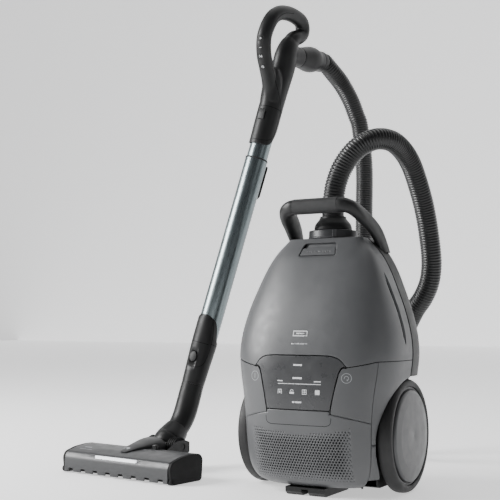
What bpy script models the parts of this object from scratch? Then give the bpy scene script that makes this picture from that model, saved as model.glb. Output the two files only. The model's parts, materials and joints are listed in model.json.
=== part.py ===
"""Canister vacuum cleaner parked upright, with hose, handle, telescopic wand and floor nozzle.

Metres, +Z up. The origin is on the flat underside of the standing foot, under the middle of the canister.
The lid, the panel and the pedals face -Y, and the wand stands on the -X side.
"""

from math import cos, pi, radians, sin

import bmesh
import bpy
from mathutils import Matrix, Vector

# ---- Driving dimensions -------------------------------------------------------------------------
GAP = 0.0004  # clearance between pieces that touch
SEAM = 0.0008  # visible joint line between two casings
WALL = 0.0028  # casing wall

WHEEL_RADIUS = 0.096
WHEEL_Y, WHEEL_Z = 0.032, 0.096
WHEEL_INNER_X, WHEEL_OUTER_X = 0.1195, 0.144
HUB_CAP_RADIUS = 0.078
HOUSING_HALF_WIDTH = 0.1125
ARCH_RADIUS = WHEEL_RADIUS + 0.0030

BODY_MIDDLE_Y = 0.005
BODY_BACK_DEPTH = 0.104
FRONT_EXPONENT, BACK_EXPONENT = 2.9, 5.0
# height, half width, front depth: the canister's rounded-rectangular section from bottom to top
BODY_STATIONS = (
    (0.014, 0.098, 0.080),
    (0.024, 0.116, 0.095),
    (0.045, 0.128, 0.106),
    (0.080, 0.133, 0.113),
    (0.120, 0.135, 0.117),
    (0.160, 0.139, 0.118),
    (0.200, 0.146, 0.116),
    (0.235, 0.150, 0.112),
    (0.270, 0.147, 0.104),
    (0.310, 0.137, 0.090),
    (0.345, 0.1245, 0.074),
    (0.383, 0.1090, 0.053),
    (0.410, 0.0930, 0.036),
    (0.437, 0.0690, 0.014),
)
BODY_TOP = 0.437
COVER_ANGLE = 54.0  # degrees from the front, where the casing's front pieces end
LID_ANGLE = 92.0
SEAM_Z = 0.2245
PANEL_ANGLE = 26.0  # degrees from the front, where the panel's upper corners end
PANEL_TOP_Z, PANEL_CORNER_Z, PANEL_BOTTOM_Z = 0.2345, 0.2150, 0.145
PEDAL_INNER_Z, PEDAL_OUTER_Z = 0.1395, 0.1245  # the pedals' lower edge falls outwards
LID_HINGE = (0, -0.108, 0.2150)
PEDAL_HINGE_X, PEDAL_HINGE_Y = 0.1235, -0.0750
COVER_TOP_Z, COVER_BOTTOM_Z = 0.1435, 0.016

INLET = Vector((0.0, 0.034, 0.0))
COLLAR_RADIUS = 0.0445
HOSE_DIAMETER = 0.0395

MOTOR_X, MOTOR_Y, MOTOR_RADIUS = 0.036, 0.024, 0.046
REEL_CENTRE = Vector((-0.0775, 0.022, 0.108))

# Wand: the tube axis rises from TUBE_POINT along TUBE_AXIS; BACK points from the grip to the hose end.
TUBE_POINT = Vector((-0.3138, 0.1394, 0.3210))
TUBE_AXIS = Vector((0.2074, 0.1798, 0.9616)).normalized()
BACK = Vector((0.0473, 0.9800, -0.1934))
BACK = (BACK - TUBE_AXIS * BACK.dot(TUBE_AXIS)).normalized()
SIDE = TUBE_AXIS.cross(BACK)
OUTER_TUBE_RADIUS, INNER_TUBE_RADIUS = 0.0233, 0.0217
OUTER_TUBE_FOOT, OUTER_TUBE_TOP = -0.075, 0.3142
INNER_TUBE_FOOT, HANDLE_FOOT = -0.040, 0.3440
SLEEVE_TOP, ELBOW_TOP = -0.0200, -0.1630
GRIP_RADIUS = 0.0152

# Nozzle: its own frame has X across, Y from the front edge to the back, Z up.
NOZZLE_FRAME = Matrix.Translation((-0.3865, -0.0978, 0.0)) @ Matrix.Rotation(radians(-8), 4, "Z")
NOZZLE_WIDTH, NOZZLE_DEPTH, NOZZLE_HEIGHT = 0.280, 0.091, 0.050
CAP_WIDTH = 0.0070
BARREL_Y, BARREL_Z, BARREL_RADIUS = 0.1405, 0.0475, 0.0185
SWIVEL_LEAN = radians(50)
NOZZLE_WHEEL = (0.135, 0.0165)
BRUSH_Y, BRUSH_Z, BRUSH_RADIUS = 0.034, 0.0235, 0.0135

ROUND = 16  # sides of a small turned piece
FINE = 24  # sides of a large turned piece

MATERIALS = {
    "grey_shell": ((0.16, 0.162, 0.166), 0.42, 0.0),
    "dark_shell": ((0.024, 0.025, 0.026), 0.48, 0.0),
    "panel_gloss": ((0.11, 0.112, 0.115), 0.22, 0.0),
    "soft_grip": ((0.030, 0.031, 0.032), 0.75, 0.0),
    "tyre": ((0.012, 0.012, 0.013), 0.6, 0.0),
    "hose": ((0.018, 0.019, 0.020), 0.4, 0.0),
    "anodised_tube": ((0.22, 0.27, 0.27), 0.3, 1.0),
    "nozzle_grey": ((0.10, 0.102, 0.104), 0.4, 0.0),
    "lamp_lens": ((0.9, 0.92, 0.95), 0.15, 0.0),
    "button_grey": ((0.045, 0.046, 0.048), 0.5, 0.0),
    "steel": ((0.6, 0.6, 0.6), 0.3, 1.0),
    "motor_can": ((0.45, 0.46, 0.47), 0.4, 1.0),
    "rubber": ((0.015, 0.015, 0.016), 0.8, 0.0),
    "filter_medium": ((0.7, 0.7, 0.66), 0.9, 0.0),
    "bag_cloth": ((0.75, 0.74, 0.7), 0.95, 0.0),
    "inner_plastic": ((0.05, 0.052, 0.055), 0.6, 0.0),
    "circuit_board": ((0.02, 0.12, 0.05), 0.6, 0.0),
    "bristle": ((0.03, 0.03, 0.03), 0.85, 0.0),
}


# ---- Mesh helpers -------------------------------------------------------------------------------
def material(name):
    found = bpy.data.materials.get(name)
    if found:
        return found
    colour, roughness, metallic = MATERIALS[name]
    made = bpy.data.materials.new(name)
    made.use_nodes = True
    shader = made.node_tree.nodes["Principled BSDF"]
    shader.inputs["Base Color"].default_value = (*colour, 1.0)
    shader.inputs["Roughness"].default_value = roughness
    shader.inputs["Metallic"].default_value = metallic
    return made


def piece(name, slot, points, faces, frame=None, origin=None, smooth=35):
    """An object from points in a frame, with its own origin (a joint's axis) in world coordinates."""
    frame = frame or Matrix.Identity(4)
    origin = Vector(origin) if origin is not None else Vector((0, 0, 0))
    mesh = bpy.data.meshes.new(name)
    mesh.from_pydata([tuple(frame @ Vector(p) - origin) for p in points], [], faces)
    shape = bmesh.new()
    shape.from_mesh(mesh)
    bmesh.ops.remove_doubles(shape, verts=shape.verts, dist=1e-6)
    bmesh.ops.recalc_face_normals(shape, faces=shape.faces)
    shape.to_mesh(mesh)
    shape.free()
    mesh.shade_smooth()
    mesh.set_sharp_from_angle(angle=radians(smooth))
    made = bpy.data.objects.new(name, mesh)
    made.location = origin
    made.data.materials.append(material(slot))
    bpy.context.scene.collection.objects.link(made)
    return made


def cutter(shape):
    shape.hide_render = True
    shape.display_type = "WIRE"
    return shape


def combine(target, other, operation):
    step = target.modifiers.new(f"{operation.lower()} {other.name}", "BOOLEAN")
    step.operation = operation
    step.object = cutter(other)


def cut(target, *others):
    for other in others:
        combine(target, other, "DIFFERENCE")


def join(target, *others):
    for other in others:
        combine(target, other, "UNION")


def skin(rings, closed=False):
    """Points and faces through rings of equal counts; a ring of one point is a pole."""
    points, starts = [], []
    for ring in rings:
        starts.append(len(points))
        points += ring
    faces = []
    pairs = list(zip(range(len(rings) - 1), range(1, len(rings))))
    if closed:
        pairs.append((len(rings) - 1, 0))
    for a, b in pairs:
        na, nb = len(rings[a]), len(rings[b])
        count = max(na, nb)
        for i in range(count):
            j = (i + 1) % count
            corners = [starts[a] + i % na, starts[a] + j % na, starts[b] + j % nb, starts[b] + i % nb]
            corners = list(dict.fromkeys(corners))
            if len(corners) > 2:
                faces.append(corners)
    if not closed:
        for ring, start in ((rings[0], starts[0]), (rings[-1], starts[-1])):
            if len(ring) > 2:
                faces.append([start + i for i in range(len(ring))])
    return points, faces


def plate(outer, inner):
    """Points and faces of a thin closed plate between two grids of points of the same size."""
    rows, columns = len(outer), len(outer[0])
    points = [p for row in outer for p in row] + [p for row in inner for p in row]
    half = rows * columns
    faces = []
    for i in range(rows - 1):
        for j in range(columns - 1):
            a = i * columns + j
            faces.append((a, a + 1, a + columns + 1, a + columns))
            faces.append((half + a, half + a + columns, half + a + columns + 1, half + a + 1))
    border = [j for j in range(columns)]
    border += [i * columns + columns - 1 for i in range(1, rows)]
    border += [(rows - 1) * columns + j for j in range(columns - 2, -1, -1)]
    border += [i * columns for i in range(rows - 2, 0, -1)]
    for a, b in zip(border, border[1:] + border[:1]):
        faces.append((b, a, half + a, half + b))
    return points, faces


def axis_frame(point, along, across=None):
    """A frame at a point with Z along one direction and X as near as possible to another."""
    z = Vector(along).normalized()
    x = Vector(across) if across is not None else Vector((1, 0, 0)) if abs(z.x) < 0.9 else Vector((0, 1, 0))
    x = (x - z * x.dot(z)).normalized()
    y = z.cross(x)
    return Matrix.Translation(point) @ Matrix((x, y, z)).transposed().to_4x4()


def turned(name, slot, profile, frame, closed=False, sides=ROUND, origin=None):
    """A profile of (radius, height) turned about the frame's Z; closed means that it is a loop."""
    rings = []
    for radius, height in profile:
        if radius < 1e-7:
            rings.append([(0, 0, height)])
            continue
        turns = [2 * pi * i / sides for i in range(sides)]
        rings.append([(radius * cos(a), radius * sin(a), height) for a in turns])
    points, faces = skin(rings, closed)
    return piece(name, slot, points, faces, frame, origin)


def pipe(name, slot, outer, inner, low, high, frame, sides=ROUND, origin=None):
    profile = ((inner, low), (outer, low), (outer, high), (inner, high))
    return turned(name, slot, profile, frame, True, sides, origin)


def disc(name, slot, radius, low, high, frame, edge=0.0, sides=ROUND, origin=None):
    profile = [(0, low), (radius - edge, low), (radius, low + edge), (radius, high - edge)]
    profile += [(radius - edge, high), (0, high)]
    return turned(name, slot, profile, frame, False, sides, origin)


def block(name, slot, low, high, frame=None, origin=None, bevel=0.0):
    (x0, y0, z0), (x1, y1, z1) = low, high
    ring = ((x0, y0), (x1, y0), (x1, y1), (x0, y1))
    points, faces = skin([[(x, y, z) for x, y in ring] for z in (z0, z1)])
    made = piece(name, slot, points, faces, frame, origin)
    if bevel:
        step = made.modifiers.new("edge", "BEVEL")
        step.width = bevel
        step.segments = 2
    return made


def prism(name, slot, outline, low, high, frame=None, origin=None):
    """An outline of (y, z) points extruded along the frame's X from low to high."""
    points, faces = skin([[(x, y, z) for y, z in outline] for x in (low, high)])
    return piece(name, slot, points, faces, frame, origin)


def swept(name, slot, path, sizes, across, sides=ROUND, origin=None, power=2.0):
    """An oval section swept along points; sizes gives (half across, half other) at each point."""
    rings = []
    for i, here in enumerate(path):
        before, after = path[max(i - 1, 0)], path[min(i + 1, len(path) - 1)]
        frame = axis_frame(here, after - before, across)
        a, b = sizes[i]
        ring = []
        for k in range(sides):
            turn = 2 * pi * k / sides
            c, s = cos(turn), sin(turn)
            x = a * abs(c) ** (2 / power) * (1 if c >= 0 else -1)
            y = b * abs(s) ** (2 / power) * (1 if s >= 0 else -1)
            ring.append(tuple(frame @ Vector((x, y, 0))))
        rings.append(ring)
    points, faces = skin(rings)
    return piece(name, slot, points, faces, None, origin)


def smooth_path(points, steps):
    """Catmull-Rom curve through points, with so many steps in each span."""
    points = [Vector(p) for p in points]
    ends = [points[0] * 2 - points[1], *points, points[-1] * 2 - points[-2]]
    path = []
    for i in range(1, len(ends) - 2):
        p0, p1, p2, p3 = ends[i - 1 : i + 3]
        for k in range(steps):
            t = k / steps
            bend = (2 * p0 - 5 * p1 + 4 * p2 - p3) * t**2 + (3 * p1 - p0 - 3 * p2 + p3) * t**3
            path.append(0.5 * (2 * p1 + (p2 - p0) * t + bend))
    return [*path, points[-1]]


# ---- The canister's outer surface ---------------------------------------------------------------
def station(z):
    """Half width and front depth at a height, by smooth interpolation of BODY_STATIONS."""
    rows = BODY_STATIONS
    z = min(max(z, rows[0][0]), rows[-1][0])
    i = max(k for k in range(len(rows) - 1) if rows[k][0] <= z)
    before, here, after = rows[max(i - 1, 0)], rows[i], rows[i + 1]
    beyond = rows[min(i + 2, len(rows) - 1)]
    span = after[0] - here[0]
    t = (z - here[0]) / span
    found = []
    for k in (1, 2):
        m0 = (after[k] - before[k]) / max(after[0] - before[0], 1e-9) * span
        m1 = (beyond[k] - here[k]) / max(beyond[0] - here[0], 1e-9) * span
        value = (2 * t**3 - 3 * t**2 + 1) * here[k] + (t**3 - 2 * t**2 + t) * m0
        found.append(value + (3 * t**2 - 2 * t**3) * after[k] + (t**3 - t**2) * m1)
    return found


def skin_point(angle, z, inset=0.0):
    """A point on the casing: degrees from the front (-Y) towards +X, at a height, moved inwards."""
    half_width, front = station(z)
    half_width -= inset
    turn = radians(angle)
    c, s = cos(turn), sin(turn)
    depth, power = front - inset, FRONT_EXPONENT
    if c <= 0:
        depth, power = BODY_BACK_DEPTH - inset, BACK_EXPONENT
    x = half_width * abs(s) ** (2 / power) * (1 if s >= 0 else -1)
    y = BODY_MIDDLE_Y - depth * abs(c) ** (2 / power) * (1 if c > 0 else -1)
    return Vector((x, y, z))


def casing(name, slot, angles, low, high, rows, outer=0.0, inner=WALL, origin=None):
    """A closed thin piece of the casing between two lines of height, given as functions of the angle."""
    def sheet(inset):
        grid = []
        for row in range(rows + 1):
            share = row / rows
            line = []
            for angle in angles:
                z = low(angle) * (1 - share) + high(angle) * share
                line.append(tuple(skin_point(angle, z, inset)))
            grid.append(line)
        return grid

    return piece(name, slot, *plate(sheet(outer), sheet(inner)), None, origin)


def span(first, last, count):
    return [first + (last - first) * i / (count - 1) for i in range(count)]


def level(z):
    return lambda angle: z


def panel_half_angle(z):
    """The control panel's sides lean inwards towards its foot, and flare at its upper corners."""
    share = min((z - PANEL_BOTTOM_Z) / (PANEL_CORNER_Z - PANEL_BOTTOM_Z), 1.0)
    return 16.6 + 5.1 * share + 4.3 * share**9


def lid_edge(angle):
    """The lid's lower edge: arched over the panel, rising over the pedals and level beyond them."""
    beyond = abs(angle) - PANEL_ANGLE
    if beyond < 0:
        share = abs(angle) / PANEL_ANGLE
        return PANEL_CORNER_Z + (PANEL_TOP_Z - PANEL_CORNER_Z) * (1 - share**5) + SEAM / 2
    share = min(beyond / (COVER_ANGLE - PANEL_ANGLE), 1.0)
    return PANEL_CORNER_Z + (SEAM_Z - PANEL_CORNER_Z) * share + SEAM / 2


def pedal_bottom(angle):
    share = (abs(angle) - 17.5) / (COVER_ANGLE - 17.5)
    return PEDAL_INNER_Z + (PEDAL_OUTER_Z - PEDAL_INNER_Z) * share


# ---- Canister casings ---------------------------------------------------------------------------
def make_chassis():
    """Dark rear frame: back shell, motor housing, bulkhead and the deck under the inlet, in one."""
    back = span(LID_ANGLE, 360 - LID_ANGLE, 17)
    chassis = casing("chassis", "dark_shell", back, level(0.196), level(BODY_TOP), 7, 0.0, 0.0040)
    low, high = 0.0145, 0.2040
    front, rear = -0.040, 0.1085
    half, wall = HOUSING_HALF_WIDTH, 0.003
    shell = block("housing_outside", "dark_shell", (-half, front, low), (half, rear, high))
    inside = block(
        "housing_inside",
        "dark_shell",
        (-half + wall, front - 0.01, low + wall),
        (half - wall, rear - wall, high - wall),
    )
    cut(shell, inside)
    ring = [skin_point(a, 0.2, 0.0095) for a in span(-180, 165, 24)]
    layers = [[(p.x, p.y, z) for p in ring] for z in (0.2005, 0.2055)]
    bulkhead = piece("bulkhead", "dark_shell", *skin(layers))
    ring = [skin_point(a, 0.437, 0.0036) for a in span(-180, 165, 24)]
    layers = [[(p.x, max(p.y, 0.0), z) for p in ring] for z in (0.4322, 0.4362)]
    deck = piece("deck", "dark_shell", *skin(layers))
    join(chassis, shell, bulkhead, deck)
    over_motor = Matrix.Translation((MOTOR_X, MOTOR_Y, 0))
    neck = disc("inlet_hole", "dark_shell", 0.0305, 0.42, 0.45, Matrix.Translation(INLET))
    grommet = disc("cord_hole", "dark_shell", 0.0085, 0.09, 0.12, cord_frame())
    intake = disc("intake_hole", "dark_shell", 0.018, 0.19, 0.215, over_motor)
    cut(chassis, neck, grommet, intake)
    for side in (-1, 1):
        frame = axis_frame((0, WHEEL_Y, WHEEL_Z), (side, 0, 0))
        join(chassis, disc(f"stub_axle{side}", "dark_shell", 0.0068, 0.110, 0.1400, frame, 0.0005))
    reel = axis_frame(REEL_CENTRE, (1, 0, 0))
    join(chassis, disc("reel_stub", "dark_shell", 0.0054, -0.0340, 0.0200, reel, 0.0005))
    outer = [skin_point(a, 0.24, 0.012) for a in span(-180, 165, 24)]
    inner = [skin_point(a, 0.24, 0.0145) for a in span(-180, 165, 24)]
    lines = ((0.203, outer), (0.232, outer), (0.232, inner), (0.203, inner))
    layers = [[(p.x, p.y, z) for p in ring] for z, ring in lines]
    join(chassis, piece("bag_tub", "dark_shell", *skin(layers, True)))


def cord_frame():
    """Where the mains cord leaves the back of the housing."""
    return axis_frame((REEL_CENTRE.x, 0, 0.060), (0, 1, 0))


def make_casings():
    make_chassis()
    side_angles = span(31, LID_ANGLE - 0.6, 9)
    front = [-a for a in side_angles[::-1]] + span(-PANEL_ANGLE, PANEL_ANGLE, 15) + side_angles
    top = level(BODY_TOP - 0.0006)
    lid = casing("lid", "grey_shell", front, lid_edge, top, 9, origin=LID_HINGE)
    recess = block("latch_recess", "grey_shell", (-0.0365, -0.08, 0.4025), (0.0365, 0.02, 0.4275))
    cut(lid, recess)
    casing("lid_seal", "rubber", span(-88, 88, 17), level(0.2356), level(0.2400), 1, 0.0040, 0.0080)

    def panel_rows(inset):
        rows = []
        for share in span(0, 1, 7):
            level_z = PANEL_BOTTOM_Z + (PANEL_CORNER_Z - PANEL_BOTTOM_Z) * share
            line = []
            for across in span(-1, 1, 11):
                angle = across * panel_half_angle(level_z)
                z = PANEL_BOTTOM_Z + (lid_edge(angle) - 1.8 * SEAM - PANEL_BOTTOM_Z) * share
                line.append(tuple(skin_point(angle, z, inset)))
            rows.append(line)
        return rows

    piece("control_panel", "panel_gloss", *plate(panel_rows(0.0), panel_rows(WALL)))
    for side, name in ((-1, "power_pedal"), (1, "rewind_pedal")):
        make_pedal(side, name)
        make_side_shell(side)
    side_angles = span(17.6, COVER_ANGLE, 8)
    cover_angles = [-a for a in side_angles[::-1]] + span(-16.6, 16.6, 6) + side_angles
    casing(
        "filter_cover",
        "grey_shell",
        cover_angles,
        level(COVER_BOTTOM_Z),
        cover_top,
        6,
        origin=(0, -0.082, 0.0165),
    )


def cover_top(angle):
    """Upper edge of the filter cover: a lip under the panel, and lower under the pedals."""
    return COVER_TOP_Z if abs(angle) < 17.0 else pedal_bottom(angle) - SEAM


def make_pedal(side, name):
    """A foot pedal, which tips inwards about its outer edge."""
    outer, inner = [], []
    for share in span(0, 1, 7):
        level_z = PEDAL_INNER_Z + (PANEL_CORNER_Z - PEDAL_INNER_Z) * share
        start = panel_half_angle(max(level_z, PANEL_BOTTOM_Z)) + 0.9
        points = []
        for angle in span(start, COVER_ANGLE, 8):
            low, high = pedal_bottom(angle), lid_edge(angle) - 1.8 * SEAM
            points.append((side * angle, low + (high - low) * share))
        outer.append([tuple(skin_point(angle, z, 0.0)) for angle, z in points])
        inner.append([tuple(skin_point(angle, z, WALL)) for angle, z in points])
    origin = (side * PEDAL_HINGE_X, PEDAL_HINGE_Y, 0.18)
    piece(name, "grey_shell", *plate(outer, inner), origin=origin)


def make_side_shell(side):
    """Grey shell around one wheel arch."""
    name = "side_shell_left" if side < 0 else "side_shell_right"
    angles = [side * a for a in span(COVER_ANGLE + 0.5, LID_ANGLE - 0.6, 10)]
    shell = casing(name, "grey_shell", angles, level(0.030), level(SEAM_Z - SEAM / 2), 6)
    frame = axis_frame((0, WHEEL_Y, WHEEL_Z), (side, 0, 0))
    arch = disc(f"{name}_arch", "grey_shell", ARCH_RADIUS, 0.05, 0.20, frame, sides=FINE + 8)
    behind = block(f"{name}_behind", "grey_shell", (-0.2, WHEEL_Y, 0.0), (0.2, 0.2, WHEEL_Z + 0.02))
    cut(shell, arch, behind)


def make_foot():
    """Standing foot under the rear end, with the parking notch at its front."""
    high = 0.0138
    outline = [(-0.085, 0.006), (-0.078, 0.0), (0.012, 0.0), (0.018, 0.006)]
    outline += [(0.018, high), (-0.085, high)]
    foot = prism("standing_foot", "dark_shell", outline, -0.036, 0.036)
    notch = block("parking_notch", "dark_shell", (-0.006, -0.10, -0.01), (0.006, -0.058, 0.0105))
    cut(foot, notch)


def make_front_fittings():
    block("display_board", "circuit_board", (-0.045, -0.0990, 0.150), (0.045, -0.0974, 0.1985))

    def pad(inset):
        rows = []
        for z in span(0.4055, 0.4185, 3):
            rows.append([tuple(skin_point(a, z, inset)) for a in span(-12.2, 12.2, 5)])
        return rows

    faces = plate(pad(0.0006), pad(0.0065))
    piece("lid_latch_button", "grey_shell", *faces, origin=(0, -0.03, 0.405))


def make_carry_handle():
    """Arch over the inlet, with the soft insert in the middle of its bar; its feet clasp the casing."""
    bar_y, bar_z = -0.030, 0.4900
    stations = (
        ((0.0880, 0.0660, 0.4060), (0.0160, 0.0070)),
        ((0.0830, 0.0570, 0.4300), (0.0175, 0.0075)),
        ((0.0795, 0.0420, 0.4480), (0.0185, 0.0080)),
        ((0.0745, 0.0180, 0.4640), (0.0180, 0.0088)),
        ((0.0690, -0.0060, 0.4765), (0.0170, 0.0100)),
        ((0.0610, -0.0230, 0.4860), (0.0162, 0.0120)),
        ((0.0490, bar_y, bar_z + 0.0003), (0.0160, 0.0130)),
        ((0.0340, bar_y - 0.001, bar_z + 0.001), (0.0160, 0.0135)),
    )
    right = [Vector(point) for point, _ in stations]
    sizes = [size for _, size in stations]
    both = right + [Vector((-p.x, p.y, p.z)) for p in right[::-1]]
    both_sizes = sizes + sizes[::-1]
    handle = swept("carry_handle", "dark_shell", both, both_sizes, (0, 1, 0), 16, power=2.6)
    low = Vector((-0.06, bar_y - 0.008, bar_z - 0.0060))
    high = Vector((0.06, bar_y + 0.008, bar_z + 0.0070))
    clear = Vector((0, GAP, GAP))
    seat = block("grip_seat", "dark_shell", (-0.0430, -0.06, 0.46), (0.0430, 0.0, 0.52))
    rings = []
    for z in span(0.38, BODY_TOP, 7):
        rings.append([skin_point(a, z, -0.0008) for a in span(-180, 174, 60)])
    layers = [[tuple(p) for p in ring] for ring in rings]
    layers.append([(p.x, p.y, BODY_TOP + 0.0006) for p in rings[-1]])
    cut(handle, seat, piece("handle_feet", "dark_shell", *skin(layers)))
    low_end = block("handle_low_end", "dark_shell", (-0.2, -0.1, 0.38), (0.2, 0.2, 0.4120))
    cut(handle, low_end)
    join(handle, block("grip_core", "dark_shell", low, high))
    path = [Vector((x, bar_y - 0.001, bar_z + 0.001)) for x in span(-0.0425, 0.0425, 7)]
    sizes = [(0.0160, 0.0135)] * 7
    grip = swept("carry_handle_grip", "soft_grip", path, sizes, (0, 1, 0), 16, power=2.6)
    cut(grip, block("grip_bore", "soft_grip", low - clear, high + clear))


def make_inlet():
    frame = Matrix.Translation(INLET)
    inner, low, high = 0.0302, 0.4368, 0.4515
    profile = ((inner, low), (COLLAR_RADIUS, low), (COLLAR_RADIUS - 0.002, high), (inner, high))
    turned("inlet_collar", "dark_shell", profile, frame, True, FINE)
    cuff = (
        (0.0245, 0.4150),
        (0.0285, 0.4150),
        (0.0285, 0.4522),
        (0.0335, 0.4522),
        (0.0335, 0.4590),
        (0.0290, 0.4680),
        (0.0235, 0.4740),
        (0.0235, 0.4775),
        (0.0180, 0.4775),
    )
    turned("hose_cuff_inlet", "dark_shell", cuff, frame, True, FINE, origin=(0, 0.034, 0.452))


# ---- Wheels and caster --------------------------------------------------------------------------
def make_wheels():
    for side, word in ((-1, "left"), (1, "right")):
        centre = Vector((0, WHEEL_Y, WHEEL_Z))
        frame = axis_frame(centre, (side, 0, 0))
        wheel = (
            (0.0075, 0.1225),
            (0.0150, 0.1225),
            (0.0180, 0.1330),
            (0.0820, 0.1330),
            (0.0820, 0.1410),
            (HUB_CAP_RADIUS, 0.1410),
            (HUB_CAP_RADIUS, 0.1440),
            (0.0740, 0.1468),
            (0.0560, 0.1488),
            (0.0300, 0.1497),
            (0, 0.1500),
            (0, 0.1408),
            (0.0075, 0.1408),
        )
        hub = side * 0.13
        turned(f"wheel_{word}", "grey_shell", wheel, frame, True, FINE, (hub, WHEEL_Y, WHEEL_Z))
        tyre = (
            (0.0825, WHEEL_INNER_X + 0.003),
            (0.0900, WHEEL_INNER_X),
            (0.0945, WHEEL_INNER_X + 0.003),
            (WHEEL_RADIUS, 0.1280),
            (WHEEL_RADIUS, 0.1370),
            (0.0940, 0.1420),
            (0.0890, WHEEL_OUTER_X),
            (0.0825, WHEEL_OUTER_X - 0.001),
        )
        turned(f"tyre_{word}", "tyre", tyre, frame, True, FINE + 8, (hub, WHEEL_Y, WHEEL_Z))


def make_caster():
    centre = Vector((0, 0.1245, 0.352))
    swivel = axis_frame((0, 0, 0.3600), (0, 1, 0))
    pivot = (0, 0.111, 0.360)
    fork = disc("caster_fork", "dark_shell", 0.0170, 0.1094, 0.1124, swivel, 0.0004, ROUND, pivot)
    for x in (-0.0115, 0.0085):
        cheek = block(f"cheek{x}", "dark_shell", (x, 0.1115, 0.3450), (x + 0.003, 0.1275, 0.3640))
        join(fork, cheek)
    frame = axis_frame(centre, (1, 0, 0))
    pipe("caster_wheel", "tyre", 0.0115, 0.0024, -0.0078, 0.0078, frame, ROUND, centre)
    join(fork, disc("caster_pin", "dark_shell", 0.0019, -0.0110, 0.0110, frame, 0, 12))


# ---- Inside the canister ------------------------------------------------------------------------
def make_insides():
    frame = Matrix.Translation((MOTOR_X, MOTOR_Y, 0))
    disc("motor_housing", "motor_can", MOTOR_RADIUS, 0.048, 0.142, frame, 0.004, FINE)
    pipe("motor_mount", "rubber", 0.0560, MOTOR_RADIUS + GAP, 0.080, 0.096, frame, FINE)
    disc("motor_fan", "motor_can", 0.0400, 0.1460, 0.1600, frame, 0.001, FINE, (MOTOR_X, MOTOR_Y, 0.153))
    shroud = (
        (0.0430, 0.1430),
        (0.0460, 0.1430),
        (0.0460, 0.1700),
        (0.0180, 0.1700),
        (0.0180, 0.1660),
        (0.0430, 0.1660),
    )
    turned("fan_shroud", "inner_plastic", shroud, frame, True, FINE)
    reel = axis_frame(REEL_CENTRE, (1, 0, 0))
    drum = (
        (0.0060, -0.022),
        (0.0700, -0.022),
        (0.0700, -0.019),
        (0.0300, -0.019),
        (0.0300, 0.019),
        (0.0700, 0.019),
        (0.0700, 0.022),
        (0.0060, 0.022),
    )
    turned("cable_reel", "inner_plastic", drum, reel, True, FINE, REEL_CENTRE)
    outlet = (
        (0.0045, 0.1015),
        (0.0080, 0.1015),
        (0.0080, 0.1090),
        (0.0105, 0.1090),
        (0.0105, 0.1120),
        (0.0045, 0.1120),
    )
    turned("cord_outlet", "rubber", outlet, cord_frame(), True, ROUND)
    low, high = (-0.076, -0.0860, 0.050), (0.076, -0.0580, 0.126)
    block("exhaust_filter", "filter_medium", low, high, bevel=0.003)
    low, high = (-0.045, -0.045, 0.2062), (0.095, 0.055, 0.2140)
    block("motor_filter", "filter_medium", low, high, bevel=0.002)
    make_bag()


# height, size against the casing's section: the filled bag is widest in its lower half
BAG_STATIONS = (
    (0.2400, 0.55),
    (0.2520, 0.80),
    (0.2800, 0.88),
    (0.3300, 0.86),
    (0.3700, 0.80),
    (0.3950, 0.66),
    (0.4020, 0.45),
)


def make_bag():
    bag = []
    for z, share in BAG_STATIONS:
        ring = []
        for a in span(-180, 165, 24):
            point = skin_point(a, max(z, 0.25), 0.016)
            ring.append((point.x * share, 0.02 + (point.y - 0.02) * share, z))
        bag.append(ring)
    piece("dust_bag", "bag_cloth", *skin(bag))
    holder = block("bag_holder", "inner_plastic", (-0.048, -0.004, 0.4060), (0.048, 0.082, 0.4100))
    cut(holder, disc("bag_mouth", "inner_plastic", 0.0295, 0.39, 0.42, Matrix.Translation(INLET)))


# ---- Hose ---------------------------------------------------------------------------------------
HOSE_ROUTE = (
    (0.0000, 0.0340, 0.4782),
    (0.0000, 0.0340, 0.4840),
    (0.0000, 0.0340, 0.4920),
    (0.0020, 0.0325, 0.5100),
    (0.0080, 0.0315, 0.5380),
    (0.0210, 0.0350, 0.5700),
    (0.0430, 0.0470, 0.6010),
    (0.0680, 0.0690, 0.6180),
    (0.0850, 0.1010, 0.6190),
    (0.0935, 0.1360, 0.6070),
    (0.1000, 0.1640, 0.5840),
    (0.1050, 0.1880, 0.5480),
    (0.1090, 0.2100, 0.5050),
    (0.1115, 0.2260, 0.4580),
    (0.1115, 0.2400, 0.4060),
    (0.1040, 0.2500, 0.3680),
    (0.0880, 0.2580, 0.3370),
    (0.0640, 0.2680, 0.3080),
    (0.0380, 0.2850, 0.2640),
    (0.0180, 0.3080, 0.1960),
    (0.0020, 0.3380, 0.1200),
    (-0.0180, 0.3740, 0.0560),
    (-0.0500, 0.4120, 0.0201),
    (-0.0860, 0.4440, 0.0420),
    (-0.1120, 0.4660, 0.1000),
    (-0.1260, 0.4780, 0.1900),
    (-0.1320, 0.4840, 0.3000),
    (-0.1335, 0.4860, 0.4200),
    (-0.1325, 0.4870, 0.5300),
    (-0.1318, 0.4880, 0.6400),
    (-0.1370, 0.4786, 0.7257),
    (-0.1430, 0.4700, 0.7560),
    (-0.1510, 0.4564, 0.7890),
    (-0.1633, 0.4353, 0.8230),
    (-0.1740, 0.4090, 0.8460),
)


def wand_point(along, back=0.0, side=0.0):
    return TUBE_POINT + TUBE_AXIS * along + BACK * back + SIDE * side


CUFF_FROM, CUFF_TO = (0.5587, 0.0356), (0.5892, 0.1326)
CUFF_START = wand_point(*CUFF_FROM)
CUFF_AXIS = (wand_point(*CUFF_TO) - CUFF_START).normalized()
CUFF_LENGTH = 0.100


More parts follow.
